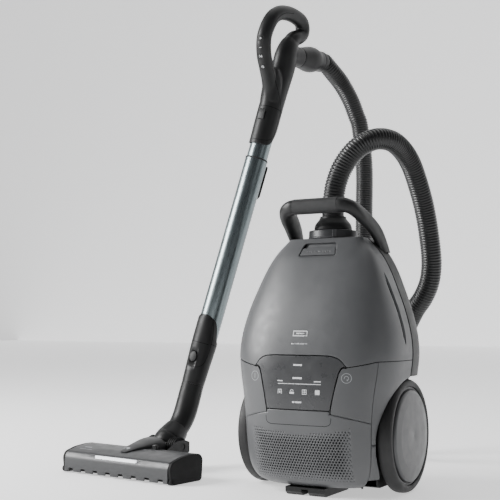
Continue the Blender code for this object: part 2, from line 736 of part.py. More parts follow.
def make_hose():
    end = CUFF_START + CUFF_AXIS * (CUFF_LENGTH + GAP)
    route = [Vector(p) for p in HOSE_ROUTE] + [end + CUFF_AXIS * 0.016, end + CUFF_AXIS * 0.006, end]
    path = smooth_path(route, 2)
    curve = bpy.data.curves.new("hose", "CURVE")
    curve.dimensions = "3D"
    curve.bevel_depth = HOSE_DIAMETER / 2
    curve.bevel_resolution = 2
    curve.use_fill_caps = True
    line = curve.splines.new("POLY")
    line.points.add(len(path) - 1)
    for place, point in zip(line.points, path):
        place.co = (*point, 1.0)
    hose = bpy.data.objects.new("hose", curve)
    hose.data.materials.append(material("hose"))
    bpy.context.scene.collection.objects.link(hose)


# ---- Wand ---------------------------------------------------------------------------------------
def tube_frame():
    return axis_frame(TUBE_POINT, TUBE_AXIS, BACK)


def make_tubes():
    frame = tube_frame()
    low, high, radius = OUTER_TUBE_FOOT, OUTER_TUBE_TOP, OUTER_TUBE_RADIUS
    pipe("outer_tube", "anodised_tube", radius, 0.0221, low, high, frame, FINE)
    low, high, radius = INNER_TUBE_FOOT, HANDLE_FOOT + 0.020, INNER_TUBE_RADIUS
    pipe("inner_tube", "anodised_tube", radius, 0.0203, low, high, frame, FINE, wand_point(0))

    def saddle(radius):
        arc = [radians(a) for a in span(-42, 42, 7)]
        rows = span(0.2350, 0.3100, 4)
        return [[(radius * cos(a), radius * sin(a), along) for a in arc] for along in rows]

    faces = plate(saddle(0.0282), saddle(0.0238))
    piece("tube_latch", "dark_shell", *faces, frame, wand_point(0.27, 0.026))


def make_neck():
    frame = tube_frame()
    profile = (
        (0, ELBOW_TOP + 0.0004),
        (0.0228, ELBOW_TOP + 0.0004),
        (0.0240, -0.120),
        (0.0262, -0.070),
        (0.0262, -0.028),
        (0.0252, SLEEVE_TOP),
        (OUTER_TUBE_RADIUS + GAP, SLEEVE_TOP),
        (OUTER_TUBE_RADIUS + GAP, OUTER_TUBE_FOOT - 0.0005),
        (0, OUTER_TUBE_FOOT - 0.0005),
    )
    sleeve = turned("neck_sleeve", "dark_shell", profile, frame, False, FINE)
    name, place = "neck_release_button", wand_point(-0.110)
    oval = axis_frame(place, -BACK, TUBE_AXIS) @ Matrix.Diagonal((1.3, 1, 1, 1))
    disc(name, "button_grey", 0.0082, 0.0196, 0.0262, oval, 0.0008, ROUND, place)
    cut(sleeve, disc("neck_button_pocket", "dark_shell", 0.0087, 0.0160, 0.04, oval))
    swivel, lower = swivel_axis()
    start, down = wand_point(ELBOW_TOP), -TUBE_AXIS
    path, sizes = [], []
    steps = 10
    for i in range(steps + 1):
        t = i / steps
        p0, p1 = start, start + down * 0.040
        p3 = swivel + lower * 0.0030
        p2 = p3 + lower * 0.030
        point = (1 - t) ** 3 * p0 + 3 * (1 - t) ** 2 * t * p1 + 3 * (1 - t) * t**2 * p2 + t**3 * p3
        path.append(point)
        sizes.append((0.0226 - 0.0010 * t, 0.0226 - 0.0010 * t))
    path.append(swivel + lower * 0.0006)
    sizes.append(sizes[-1])
    swept("neck_elbow", "dark_shell", path, sizes, SIDE, ROUND)


def nozzle_point(x, y, z):
    return NOZZLE_FRAME @ Vector((x, y, z))


def swivel_axis():
    """The ring where the elbow turns on the neck, and the direction of its axis, upwards."""
    turn = NOZZLE_FRAME.to_3x3()
    lower = turn @ Vector((0, sin(SWIVEL_LEAN), cos(SWIVEL_LEAN)))
    return nozzle_point(0, BARREL_Y, BARREL_Z) + lower * 0.0450, lower


def make_neck_base():
    swivel, lower = swivel_axis()
    pivot = nozzle_point(0, BARREL_Y, BARREL_Z)
    across = NOZZLE_FRAME.to_3x3() @ Vector((1, 0, 0))
    profile = [(0, -0.006), (0.0262, -0.006), (0.0295, 0.010), (0.0270, 0.026)]
    profile += [(0.0238, 0.0445), (0, 0.0445)]
    frame = axis_frame(pivot, lower, across)
    bell = turned("neck_base", "dark_shell", profile, frame, False, ROUND, swivel)
    barrel_frame = axis_frame(pivot, across)
    barrel = disc("barrel", "dark_shell", BARREL_RADIUS, -0.0370, 0.0370, barrel_frame, 0.001, ROUND)
    pin = disc("pivot_pin", "dark_shell", 0.0060, -0.0450, 0.0450, barrel_frame, 0.0005, ROUND)
    join(bell, barrel, pin)


# ---- Nozzle -------------------------------------------------------------------------------------
def make_nozzle():
    half = NOZZLE_WIDTH / 2 - CAP_WIDTH
    wall = 0.0024
    outside = (
        (0.0000, 0.0085),
        (0.0005, 0.0300),
        (0.0060, 0.0400),
        (0.0300, 0.0470),
        (0.0600, NOZZLE_HEIGHT),
        (0.0820, 0.0490),
        (0.0900, 0.0400),
        (NOZZLE_DEPTH, 0.0085),
    )
    inside = [(0.0455 + (y - 0.0455) * 0.945, z - wall if z > 0.02 else z) for y, z in outside]
    outline = [*outside, *inside[::-1]]
    frame = NOZZLE_FRAME
    origin = frame.translation
    cover = prism("nozzle_cover", "nozzle_grey", outline, -half, half, frame, origin)
    slot = block("lamp_slot", "nozzle_grey", (-0.0560, -0.02, 0.0325), (0.0560, 0.0055, 0.0385), frame)
    step_slot = block("slider_slot", "nozzle_grey", (0.0300, 0.066, 0.03), (0.0600, 0.074, 0.07), frame)
    cut(cover, slot, step_slot)
    low, high = (-0.0555, 0.0008, 0.0329), (0.0555, 0.0050, 0.0381)
    block("lamp_lens", "lamp_lens", low, high, frame, origin, 0.0004)
    caps = [(0.0040, 0.0), *outside[1:-1], (NOZZLE_DEPTH - 0.004, 0.0)]
    prism("end_cap_left", "dark_shell", caps, -NOZZLE_WIDTH / 2, -half - GAP, frame, origin)
    prism("end_cap_right", "dark_shell", caps, half + GAP, NOZZLE_WIDTH / 2, frame, origin)
    low, high = (-half, 0.0010, 0.0045), (half, 0.0900, 0.0081)
    base = block("nozzle_base", "dark_shell", low, high, frame, origin)
    reach, opening = half - 0.012, 0.0165
    low, high = (-reach, BRUSH_Y - opening, 0.0), (reach, BRUSH_Y + opening, 0.02)
    cut(base, block("brush_mouth", "dark_shell", low, high, frame))
    across = frame.to_3x3() @ Vector((1, 0, 0))
    low, high = 0.010 - half, half - 0.022
    spin = axis_frame(nozzle_point(0, BRUSH_Y, BRUSH_Z), across)
    disc("brush_roll", "bristle", BRUSH_RADIUS, low, high, spin, 0.001, ROUND, spin.translation)
    motor = axis_frame(nozzle_point(0, 0.0690, 0.0270), across)
    disc("brush_motor", "motor_can", 0.0125, 0.040, high, motor, 0.001, ROUND, origin)
    make_hump()
    make_rear_frame()
    low, high = (0.0340, 0.0665, 0.0440), (0.0440, 0.0735, 0.0580)
    place = nozzle_point(0.039, 0.070, 0.05)
    block("mode_slider", "dark_shell", low, high, frame, place, 0.001)


# distance from the front edge, half width, foot height and top height of the duct cover
HUMP_STATIONS = (
    (0.0300, 0.010, 0.0486, 0.0500),
    (0.0500, 0.017, 0.0512, 0.0560),
    (0.0750, 0.024, 0.0512, 0.0620),
    (0.0922, 0.029, 0.0512, 0.0655),
    (0.0930, 0.029, 0.0300, 0.0656),
    (0.1060, 0.031, 0.0300, 0.0670),
)


def make_hump():
    """Tapering duct cover on top of the nozzle, in front of the barrel."""
    rings = []
    for y, width, foot, top in HUMP_STATIONS:
        ring = [(-width, y, foot)]
        for turn in span(pi, 0, 9):
            rise = (top - foot) * sin(turn) ** 0.8 if 0 < turn < pi else 0.0
            ring.append((width * cos(turn), y, foot + 0.0004 + rise))
        ring.append((width, y, foot))
        rings.append(ring)
    points, faces = skin(rings)
    piece("nozzle_hump", "nozzle_grey", points, faces, NOZZLE_FRAME, NOZZLE_FRAME.translation)


# the two side plates that carry the wheels and the barrel
CHEEK_OUTLINE = (
    (0.0914, 0.0100),
    (0.1330, 0.0100),
    (0.1600, 0.0380),
    (0.1600, 0.0560),
    (0.1480, 0.0600),
    (0.1300, 0.0600),
    (0.0914, 0.0400),
)


def make_rear_frame():
    frame = NOZZLE_FRAME
    origin = frame.translation
    y, radius = NOZZLE_WHEEL
    low, high = (-0.0430, 0.0930, 0.0220), (0.0430, 0.1150, 0.0265)
    rear = block("nozzle_rear_frame", "dark_shell", low, high, frame, origin)
    for x in (-0.0460, 0.0400):
        join(rear, prism(f"cheek_plate{x}", "dark_shell", CHEEK_OUTLINE, x, x + 0.006, frame))
    across = frame.to_3x3() @ Vector((1, 0, 0))
    axle = axis_frame(nozzle_point(0, y, radius), across)
    barrel = axis_frame(nozzle_point(0, BARREL_Y, BARREL_Z), across)
    axle_bore = disc("axle_bore", "dark_shell", 0.0034, -0.06, 0.06, axle)
    pin_bore = disc("pin_bore", "dark_shell", 0.0066, -0.06, 0.06, barrel)
    cut(rear, axle_bore, pin_bore)
    disc("nozzle_axle", "steel", 0.0030, -0.0620, 0.0620, axle, 0.0003, ROUND, origin)
    for word, low in (("left", -0.0610), ("right", 0.0470)):
        name, high = f"nozzle_wheel_{word}", low + 0.0140
        pipe(name, "tyre", radius, 0.0034, low, high, axle, ROUND, axle.translation)


# ---- Handle -------------------------------------------------------------------------------------
# distance along the tube, offset towards the hose, half width and half depth of the air duct
HANDLE_DUCT = (
    (0.3440, 0.0000, 0.0248, 0.0250),
    (0.3700, -0.0005, 0.0250, 0.0256),
    (0.4000, -0.0010, 0.0252, 0.0262),
    (0.4300, -0.0015, 0.0250, 0.0264),
    (0.4600, -0.0010, 0.0246, 0.0268),
    (0.4900, 0.0015, 0.0238, 0.0264),
    (0.5200, 0.0020, 0.0236, 0.0272),
    (0.5450, 0.0000, 0.0224, 0.0270),
    (0.5680, 0.0020, 0.0190, 0.0230),
    (0.5850, 0.0120, 0.0130, 0.0150),
)
# distance along the tube and offset of the grip's bar, from the duct round the finger opening
HANDLE_LOOP = (
    (0.4350, -0.0090),
    (0.4600, -0.0210),
    (0.4780, -0.0350),
    (0.4960, -0.0540),
    (0.5160, -0.0745),
    (0.5430, -0.0890),
    (0.5690, -0.0895),
    (0.5930, -0.0820),
    (0.6120, -0.0640),
    (0.6250, -0.0350),
    (0.6310, -0.0050),
    (0.6310, 0.0170),
    (0.6230, 0.0300),
    (0.6100, 0.0330),
    (0.5980, 0.0230),
    (0.5880, 0.0090),
    (0.5700, -0.0020),
)


def make_handle():
    path = [wand_point(along, back) for along, back, _, _ in HANDLE_DUCT]
    sizes = [(wide, deep) for _, _, wide, deep in HANDLE_DUCT]
    foot = wand_point(HANDLE_FOOT)
    body = swept("handle_body", "dark_shell", path, sizes, SIDE, ROUND, foot)
    path = [wand_point(along, back) for along, back in HANDLE_LOOP]
    sizes = [(GRIP_RADIUS, GRIP_RADIUS)] * len(path)
    bar = swept("handle_loop", "dark_shell", path, sizes, SIDE, 12)
    low, high, radius = HANDLE_FOOT - 0.02, HANDLE_FOOT + 0.0204, INNER_TUBE_RADIUS + GAP
    socket = disc("tube_socket", "dark_shell", radius, low, high, tube_frame())
    seat_frame = axis_frame(CUFF_START, CUFF_AXIS, SIDE)
    seat = disc("cuff_seat", "dark_shell", 0.0220, -0.030, 0.008, seat_frame, 0.001, ROUND)
    join(body, bar, seat)
    cut(body, socket)
    make_handle_controls(body)
    profile = (
        (0.0175, 0.0085),
        (0.0215, 0.0085),
        (0.0245, 0.030),
        (0.0275, 0.046),
        (0.0275, 0.060),
        (0.0240, 0.074),
        (0.0215, CUFF_LENGTH),
        (0.0175, CUFF_LENGTH),
    )
    turn = CUFF_START + CUFF_AXIS * 0.0085
    turned("hose_cuff_handle", "dark_shell", profile, seat_frame, True, ROUND, turn)


def bar_frame(along):
    """On the front bar's centre line, level with a distance along the tube: Z outwards, X along the bar."""
    line = smooth_path([(a, b, 0) for a, b in HANDLE_LOOP[:8]], 12)
    i = min(range(1, len(line) - 1), key=lambda k: abs(line[k].x - along))
    way = line[i + 1] - line[i - 1]
    tangent = TUBE_AXIS * way.x + BACK * way.y
    tangent.normalize()
    out = -BACK * 0.98 - SIDE * 0.12
    out -= tangent * out.dot(tangent)
    return axis_frame(wand_point(line[i].x, line[i].y), out, tangent)


BUTTON_ROW = (
    ("plus_button", 0.5430),
    ("minus_button", 0.5300),
    ("mode_button", 0.5165),
    ("power_button", 0.5020),
)


def make_handle_controls(body):
    """Four buttons in a row on the outer side of the front bar, and the tube release at the foot."""
    for name, along in BUTTON_ROW:
        frame = bar_frame(along)
        low, high = GRIP_RADIUS - 0.0030, GRIP_RADIUS + 0.0010
        corner, top = (-0.0056, -0.0051, low - 0.0022), (0.0056, 0.0051, high + 0.01)
        cut(body, block(f"{name}_pocket", "dark_shell", corner, top, frame))
        corner, top = (-0.0051, -0.0046, low), (0.0051, 0.0046, high)
        block(name, "button_grey", corner, top, frame, frame.translation, 0.0006)
    frame = axis_frame(wand_point(0.4060), -BACK, TUBE_AXIS)
    corner, top = (-0.0110, -0.0080, 0.0232), (0.0110, 0.0080, 0.04)
    cut(body, block("release_pocket", "dark_shell", corner, top, frame))
    corner, top = (-0.0105, -0.0075, 0.0255), (0.0105, 0.0075, 0.0290)
    place = wand_point(0.406, -0.027)
    block("handle_release_button", "button_grey", corner, top, frame, place, 0.0008)


def main():
    for old in list(bpy.data.objects):
        bpy.data.objects.remove(old)
    make_casings()
    make_foot()
    make_front_fittings()
    make_carry_handle()
    make_inlet()
    make_wheels()
    make_caster()
    make_insides()
    make_hose()
    make_tubes()
    make_neck()
    make_neck_base()
    make_nozzle()
    make_handle()


main()
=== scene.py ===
"""Looks for the canister vacuum cleaner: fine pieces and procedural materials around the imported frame."""

import json
from math import asin, cos, hypot, pi, radians, sin

import bmesh
import bpy
from mathutils import Matrix, Vector
from mathutils.bvhtree import BVHTree

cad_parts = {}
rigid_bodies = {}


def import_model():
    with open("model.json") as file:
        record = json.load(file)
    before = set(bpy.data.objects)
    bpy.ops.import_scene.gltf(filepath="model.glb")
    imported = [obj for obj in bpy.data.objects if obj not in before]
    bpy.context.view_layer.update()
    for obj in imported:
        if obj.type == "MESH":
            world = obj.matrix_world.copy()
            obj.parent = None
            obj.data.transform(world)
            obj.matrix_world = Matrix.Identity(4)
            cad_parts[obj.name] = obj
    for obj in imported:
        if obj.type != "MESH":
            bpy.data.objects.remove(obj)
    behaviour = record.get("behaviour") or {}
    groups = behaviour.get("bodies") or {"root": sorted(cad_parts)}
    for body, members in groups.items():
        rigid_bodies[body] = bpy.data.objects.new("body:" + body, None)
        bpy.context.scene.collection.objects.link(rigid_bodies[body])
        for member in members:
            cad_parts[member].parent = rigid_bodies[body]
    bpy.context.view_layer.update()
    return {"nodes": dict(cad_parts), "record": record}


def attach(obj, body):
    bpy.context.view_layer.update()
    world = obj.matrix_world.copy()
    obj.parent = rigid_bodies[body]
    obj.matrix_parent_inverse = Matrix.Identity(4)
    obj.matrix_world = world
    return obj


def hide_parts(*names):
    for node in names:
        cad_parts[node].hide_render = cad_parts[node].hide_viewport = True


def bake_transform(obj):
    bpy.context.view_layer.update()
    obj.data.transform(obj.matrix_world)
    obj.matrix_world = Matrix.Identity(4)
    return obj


for old in list(bpy.data.objects):
    bpy.data.objects.remove(old)
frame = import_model()

# ---- Dimensions, as in the CAD ------------------------------------------------------------------
SEAM = 0.0008
BODY_MIDDLE_Y, BODY_BACK_DEPTH = 0.005, 0.104
FRONT_EXPONENT, BACK_EXPONENT = 2.9, 5.0
# height, half width, front depth of the canister's section
BODY_STATIONS = (
    (0.014, 0.098, 0.080),
    (0.024, 0.116, 0.095),
    (0.045, 0.128, 0.106),
    (0.080, 0.133, 0.113),
    (0.120, 0.135, 0.117),
    (0.160, 0.139, 0.118),
    (0.200, 0.146, 0.116),
    (0.235, 0.150, 0.112),
    (0.270, 0.147, 0.104),
    (0.310, 0.137, 0.090),
    (0.345, 0.1245, 0.074),
    (0.383, 0.1090, 0.053),
    (0.410, 0.0930, 0.036),
    (0.437, 0.0690, 0.014),
)
BODY_TOP = 0.437
COVER_ANGLE, LID_ANGLE = 54.0, 92.0
SEAM_Z = 0.2245
PANEL_ANGLE = 26.0
PANEL_TOP_Z, PANEL_CORNER_Z, PANEL_BOTTOM_Z = 0.2345, 0.2150, 0.145
PEDAL_INNER_Z, PEDAL_OUTER_Z = 0.1395, 0.1245
PEDAL_INNER_ANGLE = 17.5
PANEL_WALL = 0.0026
LID_GAP = 1.8 * SEAM
INTAKE = Vector((0.036, 0.024, 0))
CORD_X, CORD_Z = -0.0775, 0.060
COVER_TOP_Z, COVER_BOTTOM_Z = 0.1435, 0.016
WHEEL_Y, WHEEL_Z, ARCH_RADIUS = 0.032, 0.096, 0.099
INLET = Vector((0.0, 0.034, 0.0))

TUBE_POINT = Vector((-0.3138, 0.1394, 0.3210))
TUBE_AXIS = Vector((0.2074, 0.1798, 0.9616)).normalized()
BACK = Vector((0.0473, 0.9800, -0.1934))
BACK = (BACK - TUBE_AXIS * BACK.dot(TUBE_AXIS)).normalized()
SIDE = TUBE_AXIS.cross(BACK)
GRIP_RADIUS = 0.0152
NOZZLE_FRAME = Matrix.Translation((-0.3865, -0.0978, 0.0)) @ Matrix.Rotation(radians(-8), 4, "Z")
BARREL_Y, BARREL_Z = 0.1405, 0.0475
SWIVEL_LEAN = radians(50)
HOSE_DIAMETER = 0.0395
CUFF_LENGTH = 0.100
HOSE_ROUTE = (
    (0.0000, 0.0340, 0.4782),
    (0.0000, 0.0340, 0.4840),
    (0.0000, 0.0340, 0.4920),
    (0.0020, 0.0325, 0.5100),
    (0.0080, 0.0315, 0.5380),
    (0.0210, 0.0350, 0.5700),
    (0.0430, 0.0470, 0.6010),
    (0.0680, 0.0690, 0.6180),
    (0.0850, 0.1010, 0.6190),
    (0.0935, 0.1360, 0.6070),
    (0.1000, 0.1640, 0.5840),
    (0.1050, 0.1880, 0.5480),
    (0.1090, 0.2100, 0.5050),
    (0.1115, 0.2260, 0.4580),
    (0.1115, 0.2400, 0.4060),
    (0.1040, 0.2500, 0.3680),
    (0.0880, 0.2580, 0.3370),
    (0.0640, 0.2680, 0.3080),
    (0.0380, 0.2850, 0.2640),
    (0.0180, 0.3080, 0.1960),
    (0.0020, 0.3380, 0.1200),
    (-0.0180, 0.3740, 0.0560),
    (-0.0500, 0.4120, 0.0201),
    (-0.0860, 0.4440, 0.0420),
    (-0.1120, 0.4660, 0.1000),
    (-0.1260, 0.4780, 0.1900),
    (-0.1320, 0.4840, 0.3000),
    (-0.1335, 0.4860, 0.4200),
    (-0.1325, 0.4870, 0.5300),
    (-0.1318, 0.4880, 0.6400),
    (-0.1370, 0.4786, 0.7257),
    (-0.1430, 0.4700, 0.7560),
    (-0.1510, 0.4564, 0.7890),
    (-0.1633, 0.4353, 0.8230),
    (-0.1740, 0.4090, 0.8460),
)


def wand_point(along, back=0.0, side=0.0):
    return TUBE_POINT + TUBE_AXIS * along + BACK * back + SIDE * side


CUFF_START = wand_point(0.5587, 0.0356)
CUFF_AXIS = (wand_point(0.5892, 0.1326) - CUFF_START).normalized()


def nozzle_point(x, y, z):
    return NOZZLE_FRAME @ Vector((x, y, z))


ACROSS = NOZZLE_FRAME.to_3x3() @ Vector((1, 0, 0))
LOWER = NOZZLE_FRAME.to_3x3() @ Vector((0, sin(SWIVEL_LEAN), cos(SWIVEL_LEAN)))
PIVOT = nozzle_point(0, BARREL_Y, BARREL_Z)
SWIVEL = PIVOT + LOWER * 0.0450


# ---- Materials ----------------------------------------------------------------------------------
class Look:
    """A Principled material with a few short node helpers; coordinates are in metres."""

    def __init__(self, name, colour, roughness, metallic=0.0):
        self.material = bpy.data.materials.new(name)
        self.material.use_nodes = True
        self.tree = self.material.node_tree
        self.shader = self.tree.nodes["Principled BSDF"]
        self.shader.inputs["Base Color"].default_value = (*colour, 1)
        self.shader.inputs["Roughness"].default_value = roughness
        self.shader.inputs["Metallic"].default_value = metallic
        self.place = self.add("ShaderNodeTexCoord").outputs["Object"]

    def add(self, kind, **settings):
        node = self.tree.nodes.new(kind)
        for key, value in settings.items():
            setattr(node, key, value)
        return node

    def link(self, out, into):
        self.tree.links.new(out, into)

    def mapped(self, scale):
        node = self.add("ShaderNodeMapping")
        node.inputs["Scale"].default_value = scale
        self.link(self.place, node.inputs["Vector"])
        return node.outputs["Vector"]

    def noise(self, scale, detail=3.0, stretch=None):
        node = self.add("ShaderNodeTexNoise")
        node.inputs["Scale"].default_value = scale
        node.inputs["Detail"].default_value = detail
        self.link(self.mapped(stretch) if stretch else self.place, node.inputs["Vector"])
        return node.outputs["Fac"]

    def cells(self, scale):
        node = self.add("ShaderNodeTexVoronoi")
        node.inputs["Scale"].default_value = scale
        self.link(self.place, node.inputs["Vector"])
        return node.outputs["Distance"]

    def wave(self, scale, direction="Z"):
        node = self.add("ShaderNodeTexWave", bands_direction=direction)
        node.inputs["Scale"].default_value = scale
        self.link(self.place, node.inputs["Vector"])
        return node.outputs["Fac"]

    def vary_colour(self, out, dark, light):
        node = self.add("ShaderNodeValToRGB")
        node.color_ramp.elements[0].position = 0.3
        node.color_ramp.elements[1].position = 0.7
        node.color_ramp.elements[0].color = (*dark, 1)
        node.color_ramp.elements[1].color = (*light, 1)
        self.link(out, node.inputs["Fac"])
        self.link(node.outputs["Color"], self.shader.inputs["Base Color"])

    def vary_roughness(self, out, low, high):
        node = self.add("ShaderNodeMapRange")
        node.inputs["From Min"].default_value = 0.3
        node.inputs["From Max"].default_value = 0.7
        node.inputs["To Min"].default_value = low
        node.inputs["To Max"].default_value = high
        self.link(out, node.inputs["Value"])
        self.link(node.outputs["Result"], self.shader.inputs["Roughness"])

    def bump(self, *layers):
        """Layers of (height output, depth in metres), one on top of another."""
        normal = None
        for out, depth in layers:
            node = self.add("ShaderNodeBump")
            node.inputs["Strength"].default_value = 1.0
            node.inputs["Distance"].default_value = depth
            self.link(out, node.inputs["Height"])
            if normal:
                self.link(normal, node.inputs["Normal"])
            normal = node.outputs["Normal"]
        self.link(normal, self.shader.inputs["Normal"])


def shade(colour, share):
    return tuple(c * share for c in colour)


def moulded(name, colour, roughness, grain=1500, depth=0.00002, spread=0.06, shine=0.5):
    """Moulded plastic: spark-eroded grain, slow changes in tone and gloss."""
    look = Look(name, colour, roughness)
    look.vary_colour(look.noise(22, 4), shade(colour, 1 - spread), shade(colour, 1 + spread))
    look.vary_roughness(look.noise(60, 5), roughness - 0.05, roughness + 0.06)
    look.bump((look.noise(grain, 2), depth), (look.noise(140, 2), depth * 0.6))
    look.shader.inputs["Specular IOR Level"].default_value = shine
    return look.material


def metal(name, colour, roughness, stretch=(1, 1, 0.02), grain=1800):
    """Drawn or anodised metal: fine lines along the piece's own Z."""
    look = Look(name, colour, roughness, 1.0)
    lines = look.noise(grain, 3, stretch)
    look.vary_colour(look.noise(30, 3), shade(colour, 0.94), shade(colour, 1.06))
    look.vary_roughness(lines, roughness - 0.07, roughness + 0.08)
    look.bump((lines, 0.000006))
    return look.material


def cloth(name, colour, pitch):
    """Non-woven or woven cloth with crossing threads and fuzz."""
    look = Look(name, colour, 0.92)
    look.vary_colour(look.noise(90, 5), shade(colour, 0.86), shade(colour, 1.05))
    look.bump((look.wave(pitch, "X"), 0.0002), (look.wave(pitch, "Z"), 0.0002), (look.noise(900, 4), 0.0002))
    look.shader.inputs["Sheen Weight"].default_value = 0.25
    return look.material


GREY, DARK = (0.080, 0.082, 0.085), (0.0085, 0.0087, 0.0090)


def make_looks():
    looks = {
        "grey_shell": moulded("grey_shell_satin", GREY, 0.40),
        "dark_shell": moulded("dark_shell_satin", DARK, 0.44, depth=0.00003, shine=0.32),
        "dark_matte": moulded("dark_shell_matte", (0.0055, 0.0055, 0.0058), 0.62, 900, 0.00006, shine=0.25),
        "panel_gloss": moulded("panel_gloss", (0.043, 0.044, 0.046), 0.30, depth=0.000006, spread=0.03),
        "soft_grip": moulded("soft_grip", (0.0120, 0.0123, 0.0128), 0.68, 700, 0.00008),
        "tyre": moulded("tyre_rubber", (0.0075, 0.0075, 0.0078), 0.58, 600, 0.00007),
        "hose": moulded("hose_plastic", (0.0070, 0.0072, 0.0075), 0.34, 800, 0.00002),
        "hub": moulded("hub_satin", (0.052, 0.053, 0.055), 0.36, depth=0.000012),
        "nozzle_grey": moulded("nozzle_grey", (0.042, 0.043, 0.0445), 0.38),
        "hump_grey": moulded("hump_grey", (0.022, 0.0222, 0.0228), 0.40),
        "button_grey": moulded("button_grey", (0.0095, 0.0097, 0.0100), 0.5, 900, 0.00004, shine=0.3),
        "ring_grey": moulded("ring_grey", (0.030, 0.031, 0.033), 0.4),
        "rubber": moulded("rubber_matte", (0.015, 0.015, 0.016), 0.8, 700, 0.00008),
        "inner_plastic": moulded("inner_plastic", (0.05, 0.052, 0.055), 0.6),
        # seam_shadow: near black, for the dark joints along seams, and also the painted shade on the sheet
        # behind the grille holes.
        "seam": moulded("seam_shadow", (0.0008, 0.0008, 0.0008), 0.9, spread=0.02, shine=0.1),
        "mark": moulded("printed_mark", (0.62, 0.63, 0.64), 0.45, depth=0.00001, spread=0.02),
        "mark_dim": moulded("printed_mark_dim", (0.30, 0.31, 0.32), 0.45, depth=0.00001, spread=0.02),
        "anodised_tube": metal("anodised_tube", (0.235, 0.275, 0.285), 0.30),
        "steel": metal("axle_steel", (0.6, 0.6, 0.6), 0.28, (0.02, 1, 1)),
        "motor_can": metal("motor_can", (0.45, 0.46, 0.47), 0.4, (1, 1, 0.05)),
        "filter_medium": cloth("filter_medium", (0.66, 0.66, 0.62), 500),
        "bag_cloth": cloth("bag_cloth", (0.72, 0.71, 0.66), 350),
    }
    board = Look("circuit_board", (0.02, 0.10, 0.045), 0.45)
    board.vary_colour(board.cells(260), (0.012, 0.07, 0.03), (0.03, 0.15, 0.06))
    board.bump((board.cells(260), 0.0003))
    looks["circuit_board"] = board.material
    bristle = Look("bristle", (0.03, 0.03, 0.031), 0.8)
    bristle.vary_colour(bristle.noise(1600, 4), (0.012, 0.012, 0.012), (0.07, 0.07, 0.072))
    bristle.bump((bristle.noise(1600, 4), 0.0006))
    looks["bristle"] = bristle.material
    lamp = Look("lamp_lens", (0.92, 0.94, 0.97), 0.18)
    lamp.bump((lamp.wave(180, "X"), 0.00015))
    lamp.shader.inputs["Emission Color"].default_value = (0.93, 0.96, 1.0, 1)
    lamp.shader.inputs["Emission Strength"].default_value = 0.9
    looks["lamp_lens"] = lamp.material
    return looks


LOOKS = make_looks()


# ---- Mesh helpers -------------------------------------------------------------------------------
def piece(name, look, body, points, faces, at=None, replaces=(), sharp=40, merge=1e-6):
    """A visual piece in its own frame, which rides on a body and may stand for CAD nodes."""
    mesh = bpy.data.meshes.new(name)
    mesh.from_pydata([tuple(p) for p in points], [], faces)
    shape = bmesh.new()
    shape.from_mesh(mesh)
    bmesh.ops.remove_doubles(shape, verts=shape.verts, dist=merge)
    bmesh.ops.recalc_face_normals(shape, faces=shape.faces)
    shape.to_mesh(mesh)
    shape.free()
    mesh.shade_smooth()
    mesh.set_sharp_from_angle(angle=radians(sharp))
    made = bpy.data.objects.new(name, mesh)
    bpy.context.scene.collection.objects.link(made)
    made.matrix_world = at or Matrix.Identity(4)
    mesh.materials.append(LOOKS[look])
    if body:
        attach(made, body)
    if replaces:
        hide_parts(*replaces)
    return made


def helper(shape):
    shape.hide_render = True
    shape.display_type = "WIRE"
    return shape


def combine(target, other, operation="DIFFERENCE"):
    step = target.modifiers.new(f"{operation.lower()} {other.name}", "BOOLEAN")
    step.operation = operation
    step.object = helper(other)
    step.solver = "EXACT"


def bevel(target, width, segments=2, angle=30):
    step = target.modifiers.new("edge", "BEVEL")
    step.width = width
    step.segments = segments
    step.limit_method = "ANGLE"
    step.angle_limit = radians(angle)
    step.harden_normals = True
    return target


def thicken(target, thickness):
    step = target.modifiers.new("wall", "SOLIDIFY")
    step.thickness = thickness
    step.offset = -1.0
    step.use_even_offset = True
    return target


def settle(target):
    """Modifiers made final, so that the mesh itself holds the shape."""
    graph = bpy.context.evaluated_depsgraph_get()
    graph.update()
    made = bpy.data.meshes.new_from_object(target.evaluated_get(graph))
    target.modifiers.clear()
    target.data = made
    return target


def span(first, last, count):
    return [first + (last - first) * i / (count - 1) for i in range(count)]


def circle(count):
    """Angles at even steps round a full turn."""
    return [2 * pi * i / count for i in range(count)]


def grid(rows):
    """Points and faces of an open sheet."""
    columns = len(rows[0])
    points = [p for row in rows for p in row]
    faces = []
    for i in range(len(rows) - 1):
        for j in range(columns - 1):
            a = i * columns + j
            faces.append((a, a + 1, a + columns + 1, a + columns))
    return points, faces


def skin(rings, closed=False, caps=True):
    """Points and faces through rings of equal counts; a ring of one point is a pole."""
    points, starts = [], []
    for ring in rings:
        starts.append(len(points))
        points += ring
    faces = []
    pairs = list(zip(range(len(rings) - 1), range(1, len(rings))))
    if closed:
        pairs.append((len(rings) - 1, 0))
    for a, b in pairs:
        na, nb = len(rings[a]), len(rings[b])
        count = max(na, nb)
        for i in range(count):
            j = (i + 1) % count
            corners = [starts[a] + i % na, starts[a] + j % na, starts[b] + j % nb, starts[b] + i % nb]
            corners = list(dict.fromkeys(corners))
            if len(corners) > 2:
                faces.append(corners)
    if caps and not closed:
        for ring, start in ((rings[0], starts[0]), (rings[-1], starts[-1])):
            if len(ring) > 2:
                faces.append([start + i for i in range(len(ring))])
    return points, faces


def axis_frame(point, along, across=None):
    z = Vector(along).normalized()
    x = Vector(across) if across is not None else Vector((1, 0, 0)) if abs(z.x) < 0.9 else Vector((0, 1, 0))
    x = (x - z * x.dot(z)).normalized()
    return Matrix.Translation(point) @ Matrix((x, z.cross(x), z)).transposed().to_4x4()


def turned(name, look, body, profile, at, replaces=(), closed=False, sides=96, sharp=28):
    rings = []
    for radius, height in profile:
        if radius < 1e-7:
            rings.append([(0, 0, height)])
            continue
        rings.append([(radius * cos(a), radius * sin(a), height) for a in circle(sides)])
    return piece(name, look, body, *skin(rings, closed), at, replaces, sharp)


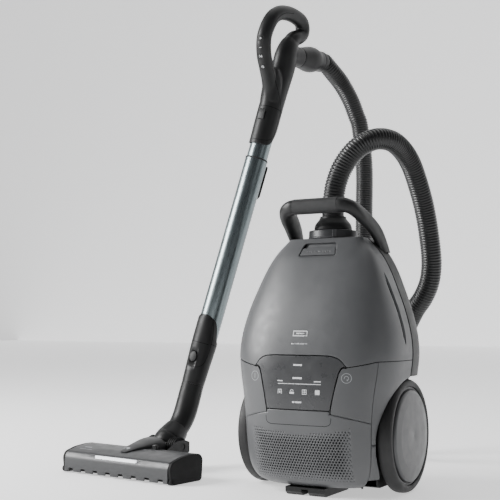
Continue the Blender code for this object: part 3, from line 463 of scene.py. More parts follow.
def rounded(profile, radius, steps=4, closed=True):
    """A profile of points with each corner turned into a small arc."""
    made = []
    count = len(profile)
    for i, here in enumerate(profile):
        here = Vector(here)
        if not closed and i in (0, count - 1):
            made.append(tuple(here))
            continue
        before, after = Vector(profile[i - 1]), Vector(profile[(i + 1) % count])
        reach = min(radius, (before - here).length * 0.45, (after - here).length * 0.45)
        a = here + (before - here).normalized() * reach
        b = here + (after - here).normalized() * reach
        for k in range(steps + 1):
            t = k / steps
            made.append(tuple(a * (1 - t) ** 2 + here * 2 * t * (1 - t) + b * t**2))
    return made


def swept(path, sizes, across, sides=32, power=2.0):
    """Rings of an oval section along points; sizes gives (half across, half other)."""
    rings = []
    for i, here in enumerate(path):
        before, after = path[max(i - 1, 0)], path[min(i + 1, len(path) - 1)]
        at = axis_frame(here, after - before, across)
        a, b = sizes[i]
        ring = []
        for turn in circle(sides):
            c, s = cos(turn), sin(turn)
            x = a * abs(c) ** (2 / power) * (1 if c >= 0 else -1)
            y = b * abs(s) ** (2 / power) * (1 if s >= 0 else -1)
            ring.append(tuple(at @ Vector((x, y, 0))))
        rings.append(ring)
    return rings


def smooth_path(points, steps):
    """Catmull-Rom curve through points of any size, with so many steps in each span."""
    points = [Vector(p) for p in points]
    ends = [points[0] * 2 - points[1], *points, points[-1] * 2 - points[-2]]
    path = []
    for i in range(1, len(ends) - 2):
        p0, p1, p2, p3 = ends[i - 1 : i + 3]
        for k in range(steps):
            t = k / steps
            bend = (2 * p0 - 5 * p1 + 4 * p2 - p3) * t**2 + (3 * p1 - p0 - 3 * p2 + p3) * t**3
            path.append(0.5 * (2 * p1 + (p2 - p0) * t + bend))
    return [*path, points[-1]]


def even_path(path, pitch):
    """Points at an even distance along a fine path, with the distance of each."""
    made, left, travelled = [path[0]], pitch, 0.0
    for a, b in zip(path, path[1:]):
        length = (b - a).length
        while left <= length + 1e-12:
            made.append(a.lerp(b, left / length))
            left += pitch
        left -= length
        travelled += length
    if (made[-1] - path[-1]).length > pitch * 0.3:
        made.append(path[-1])
    return made, travelled


def tube_rings(path, radii, sides):
    """Round rings along a path, carried without twist."""
    rings = []
    normal = Vector((0, 1, 0))
    for i, here in enumerate(path):
        before, after = path[max(i - 1, 0)], path[min(i + 1, len(path) - 1)]
        along = (after - before).normalized()
        normal = (normal - along * normal.dot(along)).normalized()
        other = along.cross(normal)
        around = [normal * cos(a) + other * sin(a) for a in circle(sides)]
        rings.append([tuple(here + way * radii[i]) for way in around])
    return rings


def block(name, look, body, low, high, at=None, replaces=(), edge=0.0006, segments=3):
    (x0, y0, z0), (x1, y1, z1) = low, high
    ring = ((x0, y0), (x1, y0), (x1, y1), (x0, y1))
    points, faces = skin([[(x, y, z) for x, y in ring] for z in (z0, z1)])
    made = piece(name, look, body, points, faces, at, replaces)
    if edge:
        bevel(made, edge, segments)
    return made


def prism(name, look, body, outline, low, high, at=None, replaces=(), edge=0.0):
    """An outline of (y, z) points extruded along X."""
    points, faces = skin([[(x, y, z) for y, z in outline] for x in (low, high)])
    made = piece(name, look, body, points, faces, at, replaces)
    if edge:
        bevel(made, edge, 3)
    return made


# ---- The canister's surface ---------------------------------------------------------------------
def station(z):
    rows = BODY_STATIONS
    z = min(max(z, rows[0][0]), rows[-1][0])
    i = max(k for k in range(len(rows) - 1) if rows[k][0] <= z)
    before, here, after = rows[max(i - 1, 0)], rows[i], rows[i + 1]
    beyond = rows[min(i + 2, len(rows) - 1)]
    width = after[0] - here[0]
    t = (z - here[0]) / width
    found = []
    for k in (1, 2):
        m0 = (after[k] - before[k]) / max(after[0] - before[0], 1e-9) * width
        m1 = (beyond[k] - here[k]) / max(beyond[0] - here[0], 1e-9) * width
        value = (2 * t**3 - 3 * t**2 + 1) * here[k] + (t**3 - 2 * t**2 + t) * m0
        found.append(value + (3 * t**2 - 2 * t**3) * after[k] + (t**3 - t**2) * m1)
    return found


def skin_point(angle, z, inset=0.0):
    half_width, front = station(z)
    half_width -= inset
    turn = radians(angle)
    c, s = cos(turn), sin(turn)
    depth, power = front - inset, FRONT_EXPONENT
    if c <= 0:
        depth, power = BODY_BACK_DEPTH - inset, BACK_EXPONENT
    x = half_width * abs(s) ** (2 / power) * (1 if s >= 0 else -1)
    y = BODY_MIDDLE_Y - depth * abs(c) ** (2 / power) * (1 if c > 0 else -1)
    return Vector((x, y, z))


def front_point(x, z, inset=0.0):
    """The front of the casing at a distance from its middle."""
    half_width, front = station(z)
    half_width -= inset
    share = min(abs(x) / half_width, 0.9999) ** FRONT_EXPONENT
    return Vector((x, BODY_MIDDLE_Y - (front - inset) * (1 - share) ** (1 / FRONT_EXPONENT), z))


def even_angles(low, high, count, z=0.22):
    """Angles from low to high at even distances along the section, which bunches at its corners."""
    fine = span(low, high, 400)
    marks = [0.0]
    for a, b in zip(fine, fine[1:]):
        marks.append(marks[-1] + (skin_point(b, z) - skin_point(a, z)).length)
    made, k = [], 0
    for target in span(0.0, marks[-1], count):
        while k < len(marks) - 2 and marks[k + 1] < target:
            k += 1
        share = (target - marks[k]) / max(marks[k + 1] - marks[k], 1e-12)
        made.append(fine[k] + (fine[k + 1] - fine[k]) * min(max(share, 0), 1))
    return made


def casing(name, look, body, angles, low, high, rows, replaces=(), inset=0.0, wall=PANEL_WALL, edge=0.0009):
    """A shell on the canister's surface between two heights given as functions of the angle."""
    sheet = []
    for share in span(0.0, 1.0, rows):
        line = []
        for angle in angles:
            z = low(angle) * (1 - share) + high(angle) * share
            line.append(tuple(skin_point(angle, z, inset)))
        sheet.append(line)
    made = piece(name, look, body, *grid(sheet), None, replaces, 60)
    return bevel(thicken(outward(made), wall), edge, 3, 50)


def turn_faces(made, choose, outwards):
    """Faces reversed where the chosen one looks against the way out at its middle."""
    shape = bmesh.new()
    shape.from_mesh(made.data)
    shape.faces.ensure_lookup_table()
    face = choose(shape.faces)
    if face.normal.dot(outwards(face.calc_center_median())) < 0:
        bmesh.ops.reverse_faces(shape, faces=shape.faces)
    shape.to_mesh(made.data)
    shape.free()
    return made


def outward(made):
    """Faces turned to look away from the canister's middle line."""

    def farthest(faces):
        return max(faces, key=lambda f: hypot(*f.calc_center_median()[:2]))

    return turn_faces(made, farthest, lambda middle: Vector((middle.x, middle.y - 0.02, 0)))


def level(z):
    return lambda angle: z


def panel_half_angle(z):
    share = min((z - PANEL_BOTTOM_Z) / (PANEL_CORNER_Z - PANEL_BOTTOM_Z), 1.0)
    return 16.6 + 5.1 * share + 4.3 * share**9


def lid_edge(angle):
    """The lid's lower edge: arched over the panel, rising over the pedals and level beyond them."""
    beyond = abs(angle) - PANEL_ANGLE
    if beyond < 0:
        share = abs(angle) / PANEL_ANGLE
        return PANEL_CORNER_Z + (PANEL_TOP_Z - PANEL_CORNER_Z) * (1 - share**5) + SEAM / 2
    share = min(beyond / (COVER_ANGLE - PANEL_ANGLE), 1.0)
    return PANEL_CORNER_Z + (SEAM_Z - PANEL_CORNER_Z) * share + SEAM / 2


def pedal_bottom(angle):
    share = (abs(angle) - PEDAL_INNER_ANGLE) / (COVER_ANGLE - PEDAL_INNER_ANGLE)
    return PEDAL_INNER_Z + (PEDAL_OUTER_Z - PEDAL_INNER_Z) * share


# ---- Camera, light and floor --------------------------------------------------------------------
def make_view():
    camera = bpy.data.objects.new("camera", bpy.data.cameras.new("camera"))
    camera.data.lens = 72
    camera.data.sensor_width = 36
    camera.data.clip_end = 50
    right, forward, up = (0.8695, 0.4939, 0), (-0.4928, 0.8674, 0.0689), (0.0340, -0.0599, 0.9976)
    turn = Matrix((right, up, [-v for v in forward])).transposed()
    camera.matrix_world = Matrix.Translation((0.755, -1.598, 0.294)) @ turn.to_4x4()
    bpy.context.scene.collection.objects.link(camera)
    bpy.context.scene.camera = camera


def lamp(name, place, aim, size, power, tint=(1, 1, 1)):
    data = bpy.data.lights.new(name, "AREA")
    data.shape = "RECTANGLE"
    data.size, data.size_y = size
    data.energy = power
    data.color = tint
    made = bpy.data.objects.new(name, data)
    direction = Vector(aim) - Vector(place)
    made.matrix_world = Matrix.Translation(place) @ direction.to_track_quat("-Z", "Y").to_matrix().to_4x4()
    bpy.context.scene.collection.objects.link(made)


def make_studio():
    world = bpy.data.worlds.new("studio")
    world.use_nodes = True
    world.node_tree.nodes["Background"].inputs["Color"].default_value = (0.93, 0.95, 1.0, 1)
    world.node_tree.nodes["Background"].inputs["Strength"].default_value = 0.11
    bpy.context.scene.world = world
    lamp("key", (-2.45, -1.35, 1.55), (-0.05, 0.1, 0.3), (1.3, 1.8), 165)
    lamp("side", (2.4, -0.6, 1.2), (0.0, 0.1, 0.35), (1.0, 1.8), 2.5)
    lamp("top", (0.0, 0.6, 2.8), (0.0, 0.1, 0.0), (2.2, 2.2), 22)
    floor = piece("floor", "mark", None, *grid([[(x, y, 0) for x in (-9, 9)] for y in (-9, 14)]))
    floor.data.materials[0] = pale("floor_pale", 0.72)
    wall = piece("backdrop", "mark", None, *grid([[(x, 9, z) for x in (-20, 20)] for z in (-1, 16)]))
    wall.data.materials[0] = pale("backdrop_pale", 0.95)


def pale(name, glow):
    look = Look(name, (0.86, 0.86, 0.86), 0.85)
    look.vary_colour(look.noise(0.7, 2), (0.85, 0.85, 0.855), (0.87, 0.87, 0.872))
    look.shader.inputs["Emission Color"].default_value = (1, 1, 1, 1)
    look.shader.inputs["Emission Strength"].default_value = glow
    return look.material


# ---- Hose ---------------------------------------------------------------------------------------
RIB_PITCH, RIB_RINGS = 0.0052, 6


def make_hose():
    """A ribbed hose: one smooth centre line, with rings whose radius rises and falls at every rib."""
    end = CUFF_START + CUFF_AXIS * (CUFF_LENGTH + 0.0004)
    route = [Vector(p) for p in HOSE_ROUTE] + [end + CUFF_AXIS * 0.016, end + CUFF_AXIS * 0.006, end]
    path, length = even_path(smooth_path(route, 12), RIB_PITCH / RIB_RINGS)
    heights = (0.0, 0.72, 1.0, 1.0, 0.72, 0.0)
    radii = []
    for i in range(len(path)):
        near_end = min(i, len(path) - 1 - i) * RIB_PITCH / RIB_RINGS < 0.006
        rib = 1.0 if near_end else heights[i % RIB_RINGS]
        radii.append(HOSE_DIAMETER / 2 - 0.0015 * (1 - rib))
    points, faces = skin(tube_rings(path, radii, 36))
    hose = piece("ribbed_hose", "hose", None, points, faces, sharp=75)
    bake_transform(hose)
    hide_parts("hose")
    line = [tuple(p) for p in path[::RIB_RINGS]] + [tuple(path[-1])]
    tuple(path[0])


def stretch(rows, steps):
    """More rows between the given ones, on a smooth curve."""
    return [tuple(row) for row in smooth_path(rows, steps)]


def slab(name, look, body, outline, low, high, at=None, edge=0.0, replaces=()):
    """An outline of (x, y) points extruded along the frame's Z."""
    points, faces = skin([[(x, y, z) for x, y in outline] for z in (low, high)])
    made = piece(name, look, body, points, faces, at, replaces, 50)
    if edge:
        bevel(made, edge, 3, 50)
    return made


def oblong(width, height, radius, steps=5, middle=(0, 0)):
    cx, cy = middle
    corners = ((cx - width / 2, cy - height / 2), (cx + width / 2, cy - height / 2))
    corners += ((cx + width / 2, cy + height / 2), (cx - width / 2, cy + height / 2))
    return rounded(corners, radius, steps)


def disc(name, radius, low, high, at, sides=96):
    """A helper for cutting."""
    profile = [(0, low), (radius, low), (radius, high), (0, high)]
    return turned(name, "dark_shell", None, profile, at, sides=sides)


FRONT = axis_frame((0, 0, 0), (0, -1, 0), (1, 0, 0))
FORWARD = FRONT.to_3x3() @ Vector((0, 0, 1))


# ---- Printed marks ------------------------------------------------------------------------------
def bar(x, y, width, height):
    """A rectangle, in pieces short enough to follow a curved surface."""
    edges = span(x - width / 2, x + width / 2, max(2, round(width / 0.003) + 1))
    b = height / 2
    return [((u, y - b), (v, y - b), (v, y + b), (u, y + b)) for u, v in zip(edges, edges[1:])]


def frame_mark(x, y, width, height, line):
    a, b = (width - line) / 2, (height - line) / 2
    made = bar(x, y - b, width, line) + bar(x, y + b, width, line)
    return made + bar(x - a, y, line, height) + bar(x + a, y, line, height)


def arc_mark(x, y, radius, line, first=0, last=360, count=24):
    made = []
    turns = [radians(a) for a in span(first, last, count + 1)]
    for a, b in zip(turns, turns[1:]):
        inner, outer = radius - line / 2, radius + line / 2
        corners = ((inner, a), (outer, a), (outer, b), (inner, b))
        made.append(tuple((x + r * cos(t), y + r * sin(t)) for r, t in corners))
    return made


def wedge(x, y, size, turn=0.0):
    turns = [radians(turn + 120 * k) for k in range(3)]
    return [tuple((x + size * cos(t), y + size * sin(t)) for t in turns)]


def stamp(name, look, body, shapes, place):
    """Flat marks laid on a surface; place turns (x, y) into a point."""
    points, faces = [], []
    for shape in shapes:
        faces.append(list(range(len(points), len(points) + len(shape))))
        points += [place(x, y) for x, y in shape]
    return piece(name, look, body, points, faces, merge=1e-9)


def on_front(x, z):
    return front_point(x, z, -0.00012)


# ---- Canister -----------------------------------------------------------------------------------
def make_lid():
    angles = even_angles(-LID_ANGLE + 0.6, LID_ANGLE - 0.6, 131)
    lid = casing("lid_shell", "grey_shell", "lid", angles, lid_edge, level(BODY_TOP - 0.0006), 44, ["lid"])
    cuts = []
    recess = [(-0.0355, 0.4035), (0.0355, 0.4035), (0.0325, 0.4200), (0.0300, 0.4270), (-0.0300, 0.4270)]
    recess.append((-0.0325, 0.4200))
    cuts.append(slab("latch_hole", "dark_shell", None, rounded(recess, 0.003), -0.02, 0.08, FRONT))
    for side in (-1, 1):
        cuts.append(side_groove(side))
    for cut in cuts:
        combine(lid, cut)
    tray = []
    for share in span(0, 1, 17):
        z = 0.4000 + 0.0300 * share
        inset = 0.0078 - 0.0052 * share**3
        tray.append([tuple(skin_point(a, z, inset)) for a in span(-15, 15, 21)])
    made = piece("latch_tray", "grey_shell", "lid", *grid(tray))
    thicken(outward(made), 0.0012)
    make_latch_pad()


def side_groove(side):
    """A long slim finger groove down each side of the lid, following its edge."""
    rings = []
    path = smooth_path([skin_point(side * a, z, 0.0004) for a, z in SIDE_GROOVE], 8)
    for i, here in enumerate(path):
        before, after = path[max(i - 1, 0)], path[min(i + 1, len(path) - 1)]
        out = Vector((here.x, (here.y - 0.02) * 0.6, 0)).normalized()
        at = axis_frame(here, after - before, out)
        share = min(1.0, 4.5 * min(i + 0.4, len(path) - 0.6 - i) / len(path))
        size = sin(share * pi / 2)
        oval = [(0.0030 * cos(a), 0.0058 * size * sin(a), 0) for a in circle(16)]
        rings.append([tuple(at @ Vector(p)) for p in oval])
    return piece(f"side_groove{side}", "dark_shell", None, *skin(rings))


SIDE_GROOVE = ((85, 0.374), (86, 0.350), (87, 0.325), (88, 0.300), (88.6, 0.270), (89, 0.250))


def make_latch_pad():
    sheet = []
    for z in span(0.4048, 0.4182, 13):
        sheet.append([tuple(skin_point(a, z, 0.0004)) for a in span(-12.6, 12.6, 41)])
    pad = piece("latch_pad", "grey_shell", "lid_latch", *grid(sheet), None, ["lid_latch_button"], 60)
    thicken(outward(pad), 0.0030)
    outline = [(-0.0350, 0.4045), (0.0350, 0.4045), (0.0325, 0.4178), (-0.0325, 0.4178)]
    around = slab("pad_outline", "dark_shell", None, rounded(outline, 0.0040), -0.02, 0.08, FRONT)
    combine(pad, around, "INTERSECT")
    bevel(pad, 0.0006, 2, 50)
    for i in range(9):
        x = 0.0052 * (i - 4)
        low = 0.4116 if i % 2 else 0.4108
        centre = skin_point(x * 345, low, 0.0002)
        at = axis_frame(centre, (0, -1, 0.4))
        dimple = turned(f"pad_dimple{i}", "dark_shell", None, DIMPLE, at, sides=16)
        combine(pad, dimple)


DIMPLE = [(0, -0.0008), (0.0010, -0.0006), (0.0015, 0.0), (0.0016, 0.0010), (0, 0.0010)]


def make_panel():
    sheet = []
    for share in span(0, 1, 48):
        level_z = PANEL_BOTTOM_Z + (PANEL_CORNER_Z - PANEL_BOTTOM_Z) * share
        line = []
        for across in span(-1, 1, 61):
            angle = across * panel_half_angle(level_z)
            z = PANEL_BOTTOM_Z + (lid_edge(angle) - LID_GAP - PANEL_BOTTOM_Z) * share
            line.append(tuple(skin_point(angle, z)))
        sheet.append(line)
    panel = piece("panel_shell", "panel_gloss", "canister", *grid(sheet), None, ["control_panel"], 60)
    bevel(thicken(outward(panel), PANEL_WALL), 0.0009, 3, 50)
    bright = bar(0.0035, 0.1870, 0.079, 0.0011)
    bright += bar(0.0, 0.2180, 0.016, 0.0028) + bar(0.0, 0.1965, 0.017, 0.0030)
    bright += bar(0.0, 0.1570, 0.017, 0.0026)
    bright += bar(-0.0320, 0.1915, 0.010, 0.0018) + bar(0.0370, 0.1915, 0.012, 0.0018)
    x, z = -0.0320, 0.1740
    bright += bar(x, z + 0.0032, 0.0076, 0.0012) + bar(x - 0.0032, z, 0.0012, 0.0076)
    bright += bar(x + 0.0032, z, 0.0012, 0.0076) + bar(x, z - 0.0008, 0.0022, 0.0040)
    x = -0.0092
    bright += arc_mark(x, z + 0.0008, 0.0026, 0.0010, 0, 180, 12) + bar(x, z - 0.0018, 0.0084, 0.0034)
    x = 0.0138
    bright += frame_mark(x, z, 0.0082, 0.0082, 0.0010) + bar(x, z, 0.0010, 0.008) + bar(x, z, 0.008, 0.0010)
    bright += bar(0.0372, z, 0.0078, 0.0078)
    stamp("panel_marks", "mark", "canister", bright, on_front)
    path = [front_point(x, (PANEL_BOTTOM_Z + COVER_TOP_Z) / 2, 0.0006) for x in span(-0.0560, 0.0560, 41)]
    ribbon("panel_seam", "canister", path, [FORWARD] * len(path), 0.0009)
    badge = frame_mark(0.0, 0.2700, 0.0270, 0.0095, 0.0016) + bar(0.0, 0.2700, 0.0150, 0.0022)
    stamp("lid_badge", "mark", "lid", badge, on_front)
    stamp("lid_badge_line", "mark_dim", "lid", bar(0.0, 0.2530, 0.030, 0.0022), on_front)


def make_pedals():
    for side, name in ((-1, "power_pedal"), (1, "rewind_pedal")):
        sheet = []
        for share in span(0, 1, 40):
            level_z = PEDAL_INNER_Z + (PANEL_CORNER_Z - PEDAL_INNER_Z) * share
            start = panel_half_angle(max(level_z, PANEL_BOTTOM_Z)) + 0.9
            line = []
            for angle in even_angles(start, COVER_ANGLE, 36, level_z):
                low, high = pedal_bottom(angle), lid_edge(angle) - LID_GAP
                line.append(tuple(skin_point(side * angle, low + (high - low) * share)))
            sheet.append(line)
        made = piece(f"{name}_shell", "grey_shell", name, *grid(sheet), None, [name], 60)
        bevel(thicken(outward(made), PANEL_WALL), 0.0016, 4, 50)
        x, z = side * 0.0850, 0.1980
        shapes = arc_mark(x, z, 0.0078, 0.0009, count=32)
        if side < 0:
            shapes += bar(x, z, 0.0011, 0.0080)
        else:
            shapes += arc_mark(x, z, 0.0034, 0.0009, -60, 200, 16) + wedge(x + 0.0016, z - 0.0030, 0.0017, 20)
        stamp(f"{name}_icon", "mark_dim", name, shapes, lambda x, z: front_point(x, z, -0.0001))


GRILLE = (-0.090, 0.090, 0.028, 0.118)
HOLE_PITCH_X, HOLE_PITCH_Z = 0.0050, 0.0045


def grille_hole(x, z):
    """Radius of the grille's hole at a place; the field fades out at its border."""
    left, right, low, high = GRILLE
    rim = min(x - left, right - x, z - low) / 0.018
    top = (high - z - 0.010 * (1 - (x / 0.09) ** 2)) / 0.016
    share = min(rim, top, 1.0)
    return 0.00178 * share**0.5 if share > 0.12 else 0.0


def make_filter_cover():
    left, right, low, high = GRILLE
    columns = round((right - left) / HOLE_PITCH_X)
    rows = round((high - low) / HOLE_PITCH_Z)
    points, faces = [], []
    for row in range(rows):
        z = low + (row + 0.5) * HOLE_PITCH_Z
        shift = 0.5 if row % 2 else 0.0
        for column in range(columns + (0 if shift == 0 else -1)):
            x = left + (column + 0.5 + shift) * HOLE_PITCH_X
            hole_cell(points, faces, x, z)
        if shift:
            for x0 in (left, right - HOLE_PITCH_X / 2):
                plain_cell(points, faces, x0, x0 + HOLE_PITCH_X / 2, z)
    top = low + rows * HOLE_PITCH_Z
    middle = [i / columns for i in range(-columns, columns + 1)]
    ends = [t + 1 for t in span(0, 1, 25)]
    sides = [[-t for t in ends[::-1]], ends]
    foot = [COVER_BOTTOM_Z, 0.0175, 0.0190, 0.0205, 0.0220, 0.0240, 0.0260, low]
    beside = [low + i * HOLE_PITCH_Z / 2 for i in range(2 * rows + 1)]
    for places in (middle, *sides):
        add_cells(points, faces, places, [[z] * len(places) for z in foot])
        upper = [cover_top(t) for t in places]
        rise = [[top + (edge - top) * share for edge in upper] for share in span(0, 1, 9)]
        add_cells(points, faces, places, rise)
    for places in sides:
        add_cells(points, faces, places, [[z] * len(places) for z in beside])
    lip = [t for t in middle if abs(t) < 0.645]
    upper = [cover_top(t) for t in lip]
    rise = [[edge + (COVER_TOP_Z - edge) * share for edge in upper] for share in span(0, 1, 4)]
    add_cells(points, faces, lip, rise)
    cover = piece("cover_shell", "grey_shell", "filter_cover", points, faces, None, ["filter_cover"], 38)
    thicken(outward(cover), 0.0022).modifiers["wall"].use_even_offset = False
    # A near-black sheet 3 mm behind the grille: painted shade, so the holes read dark where the filter behind
    # them lies in shadow.
    rows = [[tuple(front_point(x, z, 0.0030)) for x in span(left, right, 60)] for z in span(low, high, 30)]
    piece("grille_painted_shade_sheet", "seam", "filter_cover", *grid(rows))
    line = [(-0.0600, 0.1330), (-0.0580, 0.1230)] + [(x, 0.1195) for x in span(-0.0500, 0.0500, 31)]
    path = smooth_path([front_point(x, z) for x, z in [*line, (0.0580, 0.1230), (0.0600, 0.1330)]], 3)
    ribbon("lip_line", "filter_cover", path, [FORWARD] * len(path), 0.0004)


def add_face(points, faces, corners):
    faces.append(list(range(len(points), len(points) + len(corners))))
    points += [tuple(c) for c in corners]


def add_cells(points, faces, places, rows):
    """Faces of the cover between its places from end to end (-2 to 2), for rows of heights."""
    for lower, upper in zip(rows, rows[1:]):
        for i in range(len(places) - 1):
            corners = [cover_point(places[i], lower[i]), cover_point(places[i + 1], lower[i + 1])]
            corners += [cover_point(places[i + 1], upper[i + 1]), cover_point(places[i], upper[i])]
            add_face(points, faces, corners)


def cover_point(place, z):
    """Over the grille (-1 to 1) at even widths, and from its edge to the cover's end at even angles."""
    if abs(place) <= 1:
        return front_point(GRILLE[1] * place, z)
    return skin_point(cover_angle(place, z), z)


def cover_angle(place, z):
    side = 1 if place > 0 else -1
    start = sin_angle(min(abs(place), 1.0) * GRILLE[1] / station(z)[0])
    return side * (start + (COVER_ANGLE - start) * max(abs(place) - 1, 0.0))


def cover_top(place):
    return pedal_bottom(max(abs(cover_angle(place, 0.13)), PEDAL_INNER_ANGLE)) - SEAM


def sin_angle(share):
    from_sine = share ** (FRONT_EXPONENT / 2)
    return 180 / pi * asin(min(from_sine, 1.0))


def hole_cell(points, faces, x, z):
    """A cell of the grille with its hole; the hole's wall is left open at its inner end."""
    a, b = HOLE_PITCH_X / 2, HOLE_PITCH_Z / 2
    border = [(-a, -b), (0, -b), (a, -b), (a, 0), (a, b), (0, b), (-a, b), (-a, 0)]
    radius = grille_hole(x, z)
    if not radius:
        for k in range(4):
            p, q, r = border[2 * k], border[2 * k + 1], border[(2 * k - 1) % 8]
            add_face(points, faces, [front_point(x + u, z + v) for u, v in (p, q, (0, 0), r)])
        return
    turns = [radians(225 + 45 * k) for k in range(8)]
    outer = [front_point(x + u, z + v) for u, v in border]
    mouth = [front_point(x + radius * cos(t), z + radius * sin(t)) for t in turns]
    for k in range(8):
        j = (k + 1) % 8
        add_face(points, faces, [outer[k], outer[j], mouth[j], mouth[k]])


def plain_cell(points, faces, x0, x1, z):
    b = HOLE_PITCH_Z / 2
    middle = (x0 + x1) / 2
    for z0, z1 in ((z - b, z), (z, z + b)):
        for u0, u1 in ((x0, middle), (middle, x1)):
            corners = ((u0, z0), (u1, z0), (u1, z1), (u0, z1))
            add_face(points, faces, [front_point(x, y) for x, y in corners])


def make_side_shells():
    for side, word in ((-1, "left"), (1, "right")):
        name = f"side_shell_{word}"
        angles = [side * a for a in even_angles(COVER_ANGLE + 0.5, LID_ANGLE - 0.6, 40)]
        high = level(SEAM_Z - SEAM / 2)
        shell = casing(f"{name}_fine", "grey_shell", "canister", angles, level(0.030), high, 40, [name])
        arch = disc(f"{name}_arch", ARCH_RADIUS, 0.05, 0.20, axis_frame((0, WHEEL_Y, WHEEL_Z), (side, 0, 0)))
        corners = ((WHEEL_Y, 0.0), (0.2, 0.0), (0.2, WHEEL_Z + 0.02), (WHEEL_Y, WHEEL_Z + 0.02))
        behind = prism(f"{name}_behind", "dark_shell", None, corners, -0.2, 0.2)
        combine(shell, arch)
        combine(shell, behind)
        points = [skin_point(side * a, 0.0900) for a in span(COVER_ANGLE + 0.5, 62.0, 8)]
        seam = tube_rings(smooth_path(points, 3), [0.0004] * 22, 6)
        combine(shell, piece(f"{name}_seam", "dark_shell", None, *skin(seam)))


def make_chassis():
    """Back shell, motor housing, bulkhead, deck, bag tub and stub axles, as one dark moulding."""
    angles = even_angles(LID_ANGLE, 360 - LID_ANGLE, 121)
    low, high = level(0.196), level(BODY_TOP)
    back = casing("chassis_back", "dark_shell", "canister", angles, low, high, 40, ["chassis"])
    back.modifiers["wall"].thickness = 0.0040
    settle(back)
    half, low, high, front, rear, wall = 0.1125, 0.0145, 0.2040, -0.040, 0.1085, 0.003
    outside = ((front, low), (rear, low), (rear, high), (front, high))
    shell = prism("housing", "dark_shell", "canister", rounded(outside, 0.010), -half, half)
    inside = ((front - 0.01, low + wall), (rear - wall, low + wall), (rear - wall, high - wall))
    inside += ((front - 0.01, high - wall),)
    combine(shell, prism("housing_inside", "dark_shell", None, inside, wall - half, half - wall))
    for k in range(7):
        z = 0.072 + 0.012 * k
        slot = slab(f"back_slot{k}", "dark_shell", None, oblong(0.052, 0.0045, 0.0022), -0.12, -0.1075, None)
        slot.matrix_world = FRONT @ Matrix.Translation((0.045, z, 0))
        combine(shell, slot)
    combine(shell, disc("cord_hole", 0.0085, 0.09, 0.12, axis_frame((CORD_X, 0, CORD_Z), (0, 1, 0)), 48))
    combine(shell, disc("intake", 0.018, 0.19, 0.215, Matrix.Translation(INTAKE), 48))
    bevel(shell, 0.0012, 3, 40)
    make_deck()


def flat_ring(inset, z, low_y=-1.0):
    ring = [skin_point(a, z, inset) for a in even_angles(-180, 176, 90, z)]
    return [(p.x, max(p.y, low_y)) for p in ring]


def make_deck():
    bulkhead = slab("bulkhead", "dark_shell", "canister", flat_ring(0.0095, 0.2), 0.2005, 0.2055)
    combine(bulkhead, disc("intake_low", 0.018, 0.19, 0.215, Matrix.Translation(INTAKE), 48))
    deck = slab("deck", "grey_shell", "canister", flat_ring(0.0036, 0.437, 0.0), 0.4322, 0.4362)
    combine(deck, disc("inlet_hole", 0.0305, 0.42, 0.45, Matrix.Translation(INLET)))
    bevel(deck, 0.0006, 2, 50)
    outer, inner = flat_ring(0.012, 0.24), flat_ring(0.0145, 0.24)
    lines = ((0.203, outer), (0.232, outer), (0.232, inner), (0.203, inner))
    tub = [[(x, y, z) for x, y in ring] for z, ring in lines]
    piece("bag_tub", "dark_shell", "canister", *skin(tub, True))
    for side in (-1, 1):
        at = axis_frame((0, WHEEL_Y, WHEEL_Z), (side, 0, 0))
        profile = rounded([(0, 0.110), (0.0068, 0.110), (0.0068, 0.1400), (0, 0.1400)], 0.0008, 3, False)
        turned(f"stub_axle{side}", "dark_shell", "canister", profile, at, sides=48)
    at = axis_frame((CORD_X, 0.022, 0.108), (1, 0, 0))
    profile = rounded([(0, -0.0340), (0.0054, -0.0340), (0.0054, 0.0200), (0, 0.0200)], 0.0008, 3, False)
    turned("reel_stub", "dark_shell", "canister", profile, at, sides=32)


def make_carry_handle():
    bar_y, bar_z = -0.030, 0.4900
    rows = [
        ((0.0880, 0.0660, 0.4060), (0.0160, 0.0070)),
        ((0.0830, 0.0570, 0.4300), (0.0175, 0.0075)),
        ((0.0795, 0.0420, 0.4480), (0.0185, 0.0080)),
        ((0.0745, 0.0180, 0.4640), (0.0180, 0.0088)),
        ((0.0690, -0.0060, 0.4765), (0.0170, 0.0100)),
        ((0.0610, -0.0230, 0.4860), (0.0162, 0.0120)),
        ((0.0490, bar_y, bar_z + 0.0003), (0.0160, 0.0130)),
        ((0.0340, bar_y - 0.001, bar_z + 0.001), (0.0160, 0.0135)),
    ]
    path = smooth_path([p for p, _ in rows], 7)
    sizes = stretch([size for _, size in rows], 7)
    points, faces = [], []
    for side in (-1, 1):
        arm = [(p, size) for p, size in zip(path, sizes) if p.x > 0.0445]
        arm.append((Vector((0.0432, bar_y - 0.0004, bar_z + 0.0006)), (0.0160, 0.0132)))
        line = [Vector((side * p.x, p.y, p.z)) for p, _ in arm]
        more, sides = skin(swept(line, [size for _, size in arm], (0, 1, 0), 40, 2.6))
        faces += [[i + len(points) for i in face] for face in sides]
        points += more
    handle = piece("handle_arch", "dark_shell", "canister", points, faces, None, ["carry_handle"], 50)
    core = (-0.0600, bar_y - 0.008, bar_z - 0.0060), (0.0600, bar_y + 0.008, bar_z + 0.0070)
    block("grip_core", "dark_shell", "canister", *core)
    rings = []
    for z in span(0.38, BODY_TOP, 12):
        rings.append([tuple(skin_point(a, z, -0.0006)) for a in even_angles(-180, 177, 120, z)])
    rings.append([(x, y, BODY_TOP + 0.0006) for x, y, _ in rings[-1]])
    combine(handle, piece("handle_feet", "dark_shell", None, *skin(rings)))
    combine(handle, slab("handle_low_end", "dark_shell", None, oblong(0.6, 0.6, 0.001), 0.35, 0.4120))
    bevel(handle, 0.0007, 2, 50)
    path = [Vector((x, bar_y - 0.001, bar_z + 0.001)) for x in span(-0.0428, 0.0428, 41)]
    sizes = [(0.0161, 0.0136)] * 41
    points, faces = skin(swept(path, sizes, (0, 1, 0), 48, 2.5))
    grip = piece("soft_insert", "soft_grip", "canister", points, faces, None, ["carry_handle_grip"], 50)
    bevel(grip, 0.0007, 3, 50)


